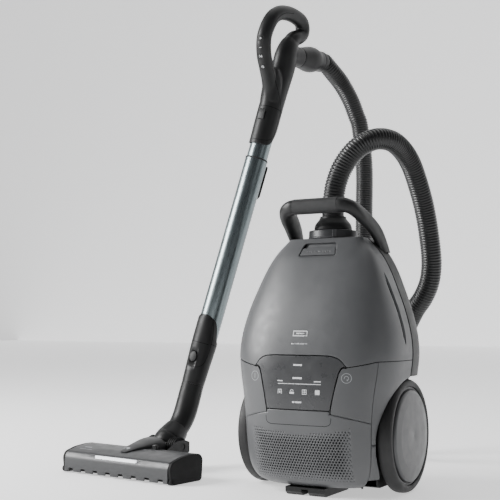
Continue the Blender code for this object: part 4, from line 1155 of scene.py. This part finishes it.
def make_inlet():
    at = Matrix.Translation(INLET)
    inner, low, high = 0.0302, 0.4368, 0.4515
    profile = [(inner, low), (0.0445, low), (0.0445, low + 0.0022), (0.0436, low + 0.0030), (0.0432, high)]
    profile += [(inner, high)]
    turned("collar", "ring_grey", "canister", rounded(profile, 0.0016), at, ["inlet_collar"], True, 128)
    cuff = [
        (0.0245, 0.4150),
        (0.0285, 0.4150),
        (0.0285, 0.4522),
        (0.0338, 0.4522),
        (0.0338, 0.4575),
        (0.0318, 0.4640),
        (0.0268, 0.4700),
        (0.0238, 0.4740),
        (0.0235, 0.4775),
        (0.0180, 0.4775),
    ]
    turned("cuff", "dark_shell", "hose_cuff", rounded(cuff, 0.0018), at, ["hose_cuff_inlet"], True, 96)
    for turn in (0, 120, 240):
        spot = at @ Matrix.Rotation(radians(turn - 62), 4, "Z") @ Matrix.Translation((0.0437, 0, 0.4445))
        low, high = (-0.003, -0.004, -0.0065), (0.0012, 0.004, 0.0072)
        block(f"collar_key{turn}", "ring_grey", "canister", low, high, spot)


def make_wheels():
    for side, word in ((-1, "left"), (1, "right")):
        at = axis_frame((0, WHEEL_Y, WHEEL_Z), (side, 0, 0))
        wheel = [(0.0075, 0.1225), (0.0150, 0.1225), (0.0180, 0.1330), (0.0822, 0.1330), (0.0822, 0.1412)]
        wheel += [(0.0796, 0.1412), (0.0790, 0.1390), (0.0780, 0.1390), (0.0776, 0.1436), (0.0762, 0.1455)]
        wheel += [(0.0735, 0.1466), (0.0560, 0.1487), (0.0300, 0.1497), (0, 0.1500), (0, 0.1408)]
        wheel += [(0.0075, 0.1408)]
        dome = rounded(wheel, 0.0009, 3)
        turned(f"hub_{word}", "hub", f"wheel_{word}", dome, at, [f"wheel_{word}"], True, 128, 40)
        tyre = [(0.0825, 0.1225), (0.0900, 0.1195), (0.0942, 0.1215), (0.0960, 0.1265), (0.0960, 0.1330)]
        tyre += [(0.0953, 0.1385), (0.0930, 0.1425), (0.0892, 0.1445), (0.0850, 0.1442), (0.0828, 0.1428)]
        tyre = rounded(tyre, 0.002)
        made = turned(f"tread_{word}", "tyre", f"wheel_{word}", tyre, at, [f"tyre_{word}"], True, 160)
        made.data.set_sharp_from_angle(angle=radians(60))


# ---- Wand ---------------------------------------------------------------------------------------
def tube_frame():
    return axis_frame(TUBE_POINT, TUBE_AXIS, BACK)


def side_view():
    """The wand seen from its side: X along SIDE, Y along BACK, Z along the tube."""
    return Matrix.Translation(TUBE_POINT) @ Matrix((SIDE, BACK, TUBE_AXIS)).transposed().to_4x4()


def make_tubes():
    at = tube_frame()
    low, high = -0.075, 0.3142
    profile = rounded([(0.0221, low), (0.0233, low), (0.0233, high), (0.0221, high)], 0.0005, 3)
    turned("wand_outer", "anodised_tube", "canister", profile, at, ["outer_tube"], True, 96)
    low, high = -0.040, 0.4020
    profile = rounded([(0.0203, low), (0.0217, low), (0.0217, high), (0.0203, high)], 0.0005, 3)
    turned("wand_inner", "anodised_tube", "handle", profile, at, ["inner_tube"], True, 96)
    ring = [(0.0218, 0.3138), (0.0236, 0.3128), (0.0238, 0.3160), (0.0218, 0.3166)]
    turned("wand_lip", "rubber", "canister", rounded(ring, 0.0004, 3), at, (), True, 96)
    sheet = []
    for along in span(0.2350, 0.3100, 61):
        share = min(max((along - 0.2350) / 0.0750, 0.0), 1.0)
        reach = 42 * min(1.0, (share * 9) ** 0.5, ((1 - share) * 14) ** 0.5 + 0.2)
        line = []
        for a in span(-reach, reach, 25):
            ridge = 0.0005 if 0.55 < share < 0.92 and (share * 40) % 1 > 0.5 and abs(a) < 24 else 0
            radius = 0.0282 + ridge
            line.append((radius * cos(radians(a)), radius * sin(radians(a)), along))
        sheet.append(line)
    latch = piece("latch_slider", "dark_shell", "tube_latch", *grid(sheet), at, ["tube_latch"], 45)
    turn_faces(latch, lambda faces: faces[len(faces) // 2], lambda middle: Vector((middle.x, middle.y, 0)))
    bevel(thicken(latch, 0.0042), 0.0012, 3, 60)


def organic(name, look, body, shapes, voxel, rounds, replaces=()):
    """Overlapping closed shapes melted into one smooth moulding with soft hollows where they meet."""
    points, faces = [], []
    for more, sides in shapes:
        faces += [[i + len(points) for i in face] for face in sides]
        points += [tuple(p) for p in more]
    made = piece(name, look, body, points, faces, None, replaces, 180)
    step = made.modifiers.new("melt", "REMESH")
    step.mode = "VOXEL"
    step.voxel_size = voxel
    step.use_smooth_shade = True
    step = made.modifiers.new("soften", "SMOOTH")
    step.factor = 0.5
    step.iterations = rounds
    return settle(made)


def surface_of(made):
    shape = made.data
    points = [made.matrix_world @ v.co for v in shape.vertices]
    return BVHTree.FromPolygons(points, [p.vertices for p in shape.polygons])


def groove(body, tree, points, name, width=0.0005, steps=6):
    """A fine seam along a line that is first laid on the surface."""
    path, normals = [], []
    for point in smooth_path(points, steps):
        place, normal, _, _ = tree.find_nearest(point)
        path.append(place)
        normals.append(normal)
    ribbon(name, body, path, normals, width)


def ribbon(name, body, path, normals, width):
    """A dark hairline just above a surface."""
    rows = []
    for i, (here, normal) in enumerate(zip(path, normals)):
        way = path[min(i + 1, len(path) - 1)] - path[max(i - 1, 0)]
        over = way.cross(normal).normalized() * width
        rows.append([tuple(here + normal * 0.0001 + over * k) for k in (-1, 1)])
    piece(name, "seam", body, *grid(rows), merge=1e-9)


# distance along the tube, offset, half widths across and along the offset of the grip's duct
HANDLE_DUCT = (
    (0.3436, 0.0000, 0.0250, 0.0252),
    (0.3700, -0.0005, 0.0252, 0.0258),
    (0.4000, -0.0010, 0.0254, 0.0264),
    (0.4300, -0.0015, 0.0252, 0.0266),
    (0.4600, -0.0010, 0.0248, 0.0270),
    (0.4900, 0.0015, 0.0240, 0.0266),
    (0.5200, 0.0020, 0.0238, 0.0274),
    (0.5450, 0.0000, 0.0226, 0.0272),
    (0.5680, 0.0020, 0.0192, 0.0232),
    (0.5850, 0.0120, 0.0132, 0.0152),
)
# distance along the tube, offset and radius of the grip's bar, from the duct round the finger opening
HANDLE_LOOP = (
    (0.4050, -0.0065, 0.0205),
    (0.4350, -0.0110, 0.0180),
    (0.4600, -0.0210, 0.0163),
    (0.4780, -0.0350, 0.0156),
    (0.4960, -0.0540, 0.0154),
    (0.5160, -0.0745, 0.0154),
    (0.5430, -0.0890, 0.0154),
    (0.5690, -0.0895, 0.0154),
    (0.5930, -0.0820, 0.0154),
    (0.6120, -0.0640, 0.0154),
    (0.6250, -0.0350, 0.0154),
    (0.6310, -0.0050, 0.0154),
    (0.6310, 0.0170, 0.0154),
    (0.6230, 0.0300, 0.0154),
    (0.6100, 0.0330, 0.0156),
    (0.5980, 0.0230, 0.0160),
    (0.5880, 0.0090, 0.0165),
    (0.5700, -0.0020, 0.0165),
)
# the same, with half widths across and along the offset, of the web in the fork below the opening
HANDLE_WEB = (
    (0.4400, -0.0080, 0.0236, 0.0215),
    (0.4600, -0.0130, 0.0226, 0.0215),
    (0.4780, -0.0190, 0.0208, 0.0210),
    (0.4920, -0.0260, 0.0180, 0.0195),
    (0.5040, -0.0320, 0.0140, 0.0145),
)
BUTTON_ROW = (
    ("plus_button", 0.5430),
    ("minus_button", 0.5300),
    ("mode_button", 0.5165),
    ("power_button", 0.5020),
)


def bar_frame(along):
    """On the front bar's centre line, level with a distance along the tube: Z outwards, X along the bar."""
    line = smooth_path([(a, b, 0) for a, b, _ in HANDLE_LOOP[1:9]], 12)
    i = min(range(1, len(line) - 1), key=lambda k: abs(line[k].x - along))
    way = line[i + 1] - line[i - 1]
    tangent = (TUBE_AXIS * way.x + BACK * way.y).normalized()
    out = -BACK * 0.98 - SIDE * 0.12
    return axis_frame(wand_point(line[i].x, line[i].y), out - tangent * out.dot(tangent), tangent)


def make_handle():
    rows = stretch(HANDLE_DUCT, 5)
    path = [wand_point(along, back) for along, back, _, _ in rows]
    duct = skin(swept(path, [(wide, deep) for _, _, wide, deep in rows], SIDE, 48))
    rows = stretch(HANDLE_LOOP, 5)
    path = [wand_point(along, back) for along, back, _ in rows]
    loop = skin(swept(path, [(radius, radius) for _, _, radius in rows], SIDE, 40))
    path = [wand_point(along, back) for along, back, _, _ in stretch(HANDLE_WEB, 4)]
    web = skin(swept(path, [(wide, deep) for _, _, wide, deep in stretch(HANDLE_WEB, 4)], SIDE, 32))
    seat_frame = axis_frame(CUFF_START, CUFF_AXIS, SIDE)
    turns = circle(48)
    rings = []
    for radius, height in ((0.0212, -0.030), (0.0218, -0.028), (0.0218, 0.0068), (0.0210, 0.0076)):
        rings.append([tuple(seat_frame @ Vector((radius * cos(a), radius * sin(a), height))) for a in turns])
    shapes = (duct, loop, web, skin(rings))
    shell = organic("handle_shell", "dark_shell", "handle", shapes, 0.0011, 14, ["handle_body"])
    tree = surface_of(shell)
    make_handle_buttons(shell, tree)
    foot = [(-0.06, 0.30), (0.06, 0.30), (0.06, 0.3960), (0.020, 0.3900), (0.0135, 0.3860), (0.010, 0.3780)]
    foot += [(0.006, 0.3670), (0.001, 0.3560), (-0.005, 0.3485), (-0.012, 0.3446), (-0.06, 0.3440)]
    combine(shell, prism("handle_foot", "dark_shell", None, foot, -0.05, 0.05, side_view()))
    combine(shell, disc("tube_socket", 0.0221, 0.32, 0.4030, tube_frame()))
    for side in (-1, 1):
        line = [(along, back, 0.0160 * side) for along, back, _ in HANDLE_LOOP[10:2:-1]]
        line += [(0.4300, -0.0020, 0.0262 * side), (0.4000, 0.0020, 0.0262 * side)]
        line += [(0.3760, 0.0010, 0.0260 * side), (0.3620, -0.0040, 0.0250 * side)]
        line += [(0.3555, -0.0120, 0.0220 * side), (0.3525, -0.0200, 0.0130 * side), (0.3520, -0.0255, 0.0)]
        groove("handle", tree, [wand_point(*p) for p in line], f"handle_seam{side}", 0.0004)
        turns = [radians(a) for a in span(0, 178, 14)]
        line = [(0.4240, -0.0275 * cos(a), 0.0262 * side * sin(a)) for a in turns]
        groove("handle", tree, [wand_point(*p) for p in line], f"handle_ring{side}", 0.0004, 3)
    profile = [(0.0175, 0.0085), (0.0212, 0.0085), (0.0226, 0.0180), (0.0246, 0.0300), (0.0270, 0.0430)]
    profile += [(0.0276, 0.0500), (0.0276, 0.0580), (0.0262, 0.0660), (0.0240, 0.0740), (0.0226, 0.0860)]
    profile += [(0.0222, 0.0870), (0.0222, 0.0890), (0.0226, 0.0900), (0.0226, 0.1000), (0.0175, 0.1000)]
    cuff = rounded(profile, 0.003, 4)
    turned("cuff_handle", "dark_shell", "handle_cuff", cuff, seat_frame, ["hose_cuff_handle"], True, 96)


def make_handle_buttons(shell, tree):
    for name, along in BUTTON_ROW:
        at = bar_frame(along)
        pad = piece(f"{name}_pad", "button_grey", name, *mesh_data(shell), None, [name], 180)
        low, high = GRIP_RADIUS - 0.0035, GRIP_RADIUS + 0.02
        shape = oblong(0.0104, 0.0096, 0.0018)
        combine(pad, slab(f"{name}_shape", "dark_shell", None, shape, low, high, at), "INTERSECT")
        shape = oblong(0.0112, 0.0104, 0.0021)
        combine(shell, slab(f"{name}_seat", "dark_shell", None, shape, low - 0.0012, high, at))
        place = laid_on(tree, at)
        stamp(f"{name}_icon", "mark", name, HANDLE_ICONS[name], place)
    at = axis_frame(wand_point(0.4060), -BACK, TUBE_AXIS)
    shape = oblong(0.0224, 0.0164, 0.0036)
    combine(shell, slab("release_seat", "dark_shell", None, shape, 0.0232, 0.04, at))
    sheet = []
    for x in span(-0.0107, 0.0107, 25):
        crown = 0.0009 * (1 - (x / 0.0107) ** 2)
        row = [(x, y, 0.0277 + crown - 9.0 * y * y) for y in span(-0.0077, 0.0077, 17)]
        sheet.append(row)
    stands_for = ["handle_release_button"]
    release = piece("release_pad", "dark_shell", "handle_release", *grid(sheet), at, stands_for, 60)
    turn_faces(release, lambda faces: faces[0], lambda middle: Vector((0, 0, 1)))
    bevel(thicken(release, 0.0026), 0.0008, 3, 50)


HANDLE_ICONS = {
    "plus_button": bar(0, 0, 0.0010, 0.0044) + bar(0, 0, 0.0044, 0.0010),
    "minus_button": bar(0, 0, 0.0010, 0.0044),
    "mode_button": frame_mark(0, 0, 0.0058, 0.0056, 0.0008) + bar(0, 0, 0.0018, 0.0022),
    "power_button": arc_mark(0, 0, 0.0024, 0.0008) + bar(0.0012, 0, 0.0030, 0.0008),
}


def mesh_data(made):
    return [v.co.copy() for v in made.data.vertices], [list(p.vertices) for p in made.data.polygons]


def laid_on(tree, at):
    """Places (x, y) of a frame on the surface below it."""
    down = -(at.to_3x3() @ Vector((0, 0, 1)))

    def place(x, y):
        hit = tree.ray_cast(at @ Vector((x, y, 0.09)), down)[0]
        return (hit or at @ Vector((x, y, GRIP_RADIUS))) - down * 0.00015

    return place


# ---- Neck ---------------------------------------------------------------------------------------
def make_neck():
    at = tube_frame()
    profile = [(0, -0.1626), (0.0228, -0.1626), (0.0236, -0.140), (0.0246, -0.115), (0.0258, -0.090)]
    profile += [(0.0262, -0.070), (0.0262, -0.030), (0.0257, -0.0225), (0.0250, -0.0207), (0.0237, -0.0207)]
    profile += [(0.0237, -0.0755), (0, -0.0755)]
    sleeve = turned("sleeve", "dark_shell", "canister", profile, at, ["neck_sleeve"], False, 96, 40)
    cross = side_view()
    edge = [(-0.026, -0.0215), (-0.018, -0.0285), (-0.012, -0.0330), (-0.006, -0.0450), (-0.001, -0.0600)]
    edge += [(0.004, -0.0700), (0.010, -0.0735), (0.06, -0.0740), (0.06, 0.0), (-0.06, 0.0), (-0.06, -0.0208)]
    combine(sleeve, prism("sleeve_edge", "dark_shell", None, rounded(edge, 0.003, 3), -0.05, 0.05, cross))
    tree = surface_of(settle(sleeve))
    for side in (-1, 1):
        line = [(-0.034, -0.0175, 0.0195 * side), (-0.060, -0.0110, 0.0238 * side)]
        line += [(-0.095, -0.0095, 0.0236 * side), (-0.118, -0.0120, 0.0205 * side)]
        line += [(-0.128, -0.0185, 0.0140 * side), (-0.1300, -0.0238, 0.0)]
        groove("canister", tree, [wand_point(*p) for p in line], f"sleeve_seam{side}", 0.0004)
        line = [(-0.078, -0.0110, 0.0238 * side), (-0.079, 0.0100, 0.0240 * side), (-0.080, 0.0262, 0.0)]
        groove("canister", tree, [wand_point(*p) for p in line], f"sleeve_back_seam{side}", 0.0004)
        line = [(-0.0800, -0.0262, 0.0), (-0.0800, -0.0240, 0.0110 * side), (-0.0800, -0.0150, 0.0215 * side)]
        groove("canister", tree, [wand_point(*p) for p in line], f"sleeve_front_seam{side}", 0.0004)
    seat = axis_frame(wand_point(-0.110), -BACK, TUBE_AXIS)
    pocket = oblong(0.0226, 0.0174, 0.0086, 8)
    combine(sleeve, slab("sleeve_pocket", "dark_shell", None, pocket, 0.016, 0.04, seat))
    profile = rounded([(0, 0.0196), (0.0082, 0.0196), (0.0082, 0.0256), (0, 0.0264)], 0.0012, 4, False)
    oval = seat @ Matrix.Diagonal((1.3, 1, 1, 1))
    turned("neck_button", "button_grey", "neck_release", profile, oval, ["neck_release_button"], sides=48)
    start, down = wand_point(-0.1630), -TUBE_AXIS
    path, sizes = [], []
    for t in span(0, 1, 33):
        p1, p3 = start + down * 0.040, SWIVEL + LOWER * 0.0006
        p2 = p3 + LOWER * 0.0324
        path.append((1 - t) ** 3 * start + 3 * (1 - t) ** 2 * t * p1 + 3 * (1 - t) * t**2 * p2 + t**3 * p3)
        bulge = 0.0010 * sin(pi * t)
        sizes.append((0.0226 - 0.0010 * t + bulge, 0.0226 - 0.0010 * t + bulge))
    rings = swept(path, sizes, SIDE, 64)
    elbow = piece("elbow", "dark_shell", "canister", *skin(rings), None, ["neck_elbow"], 50)
    elbow_tree = surface_of(elbow)
    middle = [path[i] + SIDE * -0.03 for i in range(2, 31, 4)]
    groove("canister", elbow_tree, middle, "elbow_seam", 0.0004, 4)
    make_neck_base()


def make_neck_base():
    at = axis_frame(PIVOT, LOWER, ACROSS)
    profile = [(0, -0.006), (0.0258, -0.006), (0.0275, 0.000), (0.0290, 0.0085), (0.0290, 0.0115)]
    profile += [(0.0284, 0.0125), (0.0284, 0.0150), (0.0288, 0.0160), (0.0278, 0.0230), (0.0262, 0.0320)]
    profile += [(0.0246, 0.0400), (0.0238, 0.0445), (0, 0.0445)]
    turned("bell", "dark_shell", "neck_base", rounded(profile, 0.0016, 3, False), at, ["neck_base"], sides=96)
    across = axis_frame(PIVOT, ACROSS)
    profile = [(0, -0.0370), (0.0172, -0.0370)]
    for k in range(15):
        x = -0.0350 + 0.0050 * k
        profile += [(0.0172, x), (0.0185, x + 0.0008), (0.0185, x + 0.0030), (0.0172, x + 0.0038)]
    profile += [(0.0172, 0.0370), (0, 0.0370)]
    turned("ribbed_barrel", "dark_matte", "neck_base", profile, across, sides=96, sharp=50)
    profile = rounded([(0, -0.0450), (0.0060, -0.0450), (0.0060, 0.0450), (0, 0.0450)], 0.0008, 3, False)
    turned("pivot_pin", "dark_shell", "neck_base", profile, across, sides=32)


# ---- Nozzle -------------------------------------------------------------------------------------
NOZZLE_PROFILE = (
    (0.0000, 0.0032),
    (0.0005, 0.0300),
    (0.0060, 0.0400),
    (0.0300, 0.0470),
    (0.0600, 0.0500),
    (0.0820, 0.0490),
    (0.0900, 0.0400),
    (0.0910, 0.0085),
)


def make_nozzle():
    half, wall = 0.1330, 0.0024
    outside = rounded(NOZZLE_PROFILE, 0.008, 6, False)
    inside = [(0.0455 + (y - 0.0455) * 0.945, z - wall if z > 0.02 else z) for y, z in outside]
    at = NOZZLE_FRAME
    outline = [*outside, *inside[::-1]]
    cover = prism("cover", "nozzle_grey", "nozzle", outline, -half, half, at, ["nozzle_cover"])
    cover.data.set_sharp_from_angle(angle=radians(30))
    for k in range(8):
        x = -0.1162 + 0.0332 * k
        notch = ((x - 0.0080, -0.002), (x + 0.0080, -0.002), (x + 0.0058, 0.0098), (x - 0.0058, 0.0098))
        turn = at @ FRONT
        combine(cover, slab(f"notch{k}", "dark_shell", None, notch, -0.006, 0.006, turn))
    low, high = (-0.0505, -0.02, 0.0325), (0.0560, 0.0055, 0.0385)
    combine(cover, block("lamp_slot", "dark_shell", None, low, high, at))
    combine(cover, block("slider_slot", "dark_shell", None, (0.0300, 0.066, 0.03), (0.0600, 0.074, 0.07), at))
    bevel(cover, 0.0005, 2, 50)
    make_lamp(at)
    caps = rounded([(0.0040, 0.0), *NOZZLE_PROFILE[1:-1], (0.0870, 0.0)], 0.008, 6)
    for name, low, high in (("left", -0.1400, -half - 0.0004), ("right", half + 0.0004, 0.1400)):
        cap = prism(f"cap_{name}", "dark_matte", "nozzle", caps, low, high, at, [f"end_cap_{name}"])
        bevel(cap, 0.0018, 4, 50)
        spot = axis_frame(nozzle_point(low, 0.0085, 0.0068), ACROSS)
        bulge = [(0, -0.003), (0.0066, -0.003), (0.0066, high - low), (0, high - low)]
        bulge = rounded(bulge, 0.002, 4, False)
        turned(f"cap_bulge_{name}", "dark_matte", "nozzle", bulge, spot, sides=40)
    low, high = (-half, 0.0070, 0.0045), (half, 0.0880, 0.0081)
    base = block("base", "dark_shell", "nozzle", low, high, at, ["nozzle_base"])
    mouth = block("mouth", "dark_shell", None, (0.012 - half, 0.0175, 0.0), (half - 0.012, 0.0505, 0.02), at)
    combine(base, mouth)
    for k in range(2):
        strip = ((-half + 0.014, 0.0540 + 0.008 * k, 0.0012), (half - 0.014, 0.0565 + 0.008 * k, 0.0045))
        block(f"lint_strip{k}", "bristle", "nozzle", *strip, at)
    make_brush()
    make_hump()
    top = laid_on(surface_of(cover), at)
    marks = bar(-0.1010, 0.0320, 0.0190, 0.0044)
    stamp("nozzle_mark", "mark_dim", "nozzle", marks, top)
    stamp("nozzle_mark_line", "mark_dim", "nozzle", bar(-0.0980, 0.0220, 0.0330, 0.0016), top)
    icons = bar(0.0260, 0.0560, 0.0060, 0.0030) + bar(0.0560, 0.0560, 0.0060, 0.0030)
    stamp("slider_icons", "mark_dim", "nozzle", icons, top)
    make_nozzle_wheels()


def make_lamp(at):
    low, high = (-0.0500, 0.0004, 0.0335), (0.0555, 0.0050, 0.0382)
    block("lamp_strip", "lamp_lens", "nozzle", low, high, at, ["lamp_lens"])
    for k in range(6):
        x = -0.0412 + 0.0176 * k
        low, high = (x - 0.0078, 0.0000, 0.0328), (x + 0.0078, 0.0045, 0.0345)
        block(f"lamp_cell{k}", "lamp_lens", "nozzle", low, high, at, (), 0.0006)


def make_brush():
    spin = axis_frame(nozzle_point(0, 0.034, 0.0235), ACROSS)
    low, high = -0.1230, 0.1110
    profile = rounded([(0, low), (0.0078, low), (0.0078, high), (0, high)], 0.001, 3, False)
    turned("brush_core", "dark_shell", "brush_roll", profile, spin, ["brush_roll"], sides=32)
    points, faces = [], []
    for row in range(2):
        for k in range(90):
            x = low + 0.004 + (high - low - 0.008) * k / 89
            turn = pi * row + 2.2 * pi * k / 89
            way, over = Vector((cos(turn), sin(turn), 0)), Vector((-sin(turn), cos(turn), 0))
            start = len(points)
            for radius, size in ((0.0076, 0.0010), (0.0134, 0.0013)):
                for t in circle(5):
                    points.append(way * radius + over * size * cos(t) + Vector((0, 0, x + size * sin(t))))
            for a in range(5):
                b = (a + 1) % 5
                faces.append([start + a, start + b, start + 5 + b, start + 5 + a])
            faces += [[start + a for a in range(5)], [start + 5 + a for a in range(5)]]
    piece("brush_tufts", "bristle", "brush_roll", points, faces, spin, merge=1e-9)


# distance back, half width, foot and top of the hump's section
HUMP_STATIONS = (
    (0.0240, 0.007, 0.0466, 0.0472),
    (0.0320, 0.0115, 0.0482, 0.0500),
    (0.0500, 0.017, 0.0496, 0.0560),
    (0.0750, 0.024, 0.0500, 0.0620),
    (0.0922, 0.029, 0.0500, 0.0655),
    (0.1060, 0.031, 0.0500, 0.0670),
)


def make_hump():
    """Tapering duct cover with a soft shoulder, and its mark at the tip."""
    rings = []
    for y, width, foot, top in stretch(HUMP_STATIONS, 6):
        ring = [(-width, y, foot - (0.018 if y > 0.0925 else 0))]
        for turn in span(pi, 0, 25):
            rise = (top - foot) * max(sin(turn), 0) ** 0.62
            ring.append((width * cos(turn), y, foot + 0.0003 + rise))
        ring.append((width, y, foot - (0.018 if y > 0.0925 else 0)))
        rings.append(ring)
    points, faces = skin(rings)
    hump = piece("hump", "hump_grey", "nozzle", points, faces, NOZZLE_FRAME, ["nozzle_hump"], 50)
    top = laid_on(surface_of(hump), NOZZLE_FRAME)
    shape = [(0.0080 * cos(a) - 0.0025, 0.0370 + 0.0042 * sin(a)) for a in circle(28)]
    stamp("hump_mark", "mark_dim", "nozzle", [shape], top)


def make_nozzle_wheels():
    spin = axis_frame(nozzle_point(0, 0.135, 0.0165), ACROSS)
    profile = rounded([(0, -0.0620), (0.0030, -0.0620), (0.0030, 0.0620), (0, 0.0620)], 0.0005, 3, False)
    turned("axle_rod", "steel", "nozzle", profile, spin, ["nozzle_axle"], sides=32)
    for word, low in (("left", -0.0610), ("right", 0.0470)):
        high = low + 0.0140
        profile = [(0.0034, low), (0.0165, low), (0.0165, low + 0.0042), (0.0156, low + 0.0050)]
        profile += [(0.0156, low + 0.0090), (0.0165, low + 0.0098), (0.0165, high), (0.0034, high)]
        name = f"nozzle_wheel_{word}"
        turned(f"{name}_fine", "tyre", name, rounded(profile, 0.0010, 3), spin, [name], True, 64)


# ---- Dust bag -----------------------------------------------------------------------------------
# height, share of the casing's section
BAG_STATIONS = (
    (0.2400, 0.55),
    (0.2460, 0.72),
    (0.2560, 0.82),
    (0.2800, 0.88),
    (0.3300, 0.86),
    (0.3700, 0.80),
    (0.3930, 0.66),
    (0.4020, 0.45),
)


def make_bag():
    """A filled bag of non-woven cloth: welded side edges, and folds that run in from them."""
    rings = []
    for z, share in stretch(BAG_STATIONS, 8):
        ring = []
        for turn in span(-180, 177, 120):
            here = skin_point(turn, max(z, 0.25), 0.016)
            near = abs(sin(radians(turn)))
            fold = 0.022 * near**3 * sin(radians(4 * turn) + 95 * z) * sin(60 * z)
            fold += 0.008 * sin(radians(17 * turn) + 130 * z) + 0.020 * near**120
            size = share * (0.965 + fold)
            ring.append((here.x * size, 0.02 + (here.y - 0.02) * size, z))
        rings.append(ring)
    piece("filled_bag", "bag_cloth", "canister", *skin(rings), None, ["dust_bag"], 70)


# ---- Remaining CAD nodes ------------------------------------------------------------------------
def finish_nodes():
    """Fine edges and the real material for each piece that is shown as in the CAD."""
    slots = {row["node"]: row["material_slot"] for row in frame["record"]["subparts"]}
    for name, shown in frame["nodes"].items():
        if shown.hide_render:
            continue
        shown.data.materials.clear()
        shown.data.materials.append(LOOKS[slots[name]])
        shown.data.shade_smooth()
        shown.data.set_sharp_from_angle(angle=radians(32))
        bevel(shown, 0.0004, 2, 32)


make_view()
make_studio()
make_hose()
make_lid()
make_panel()
make_pedals()
make_filter_cover()
make_side_shells()
make_chassis()
make_carry_handle()
make_inlet()
make_wheels()
make_tubes()
make_handle()
make_neck()
make_nozzle()
make_bag()
finish_nodes()
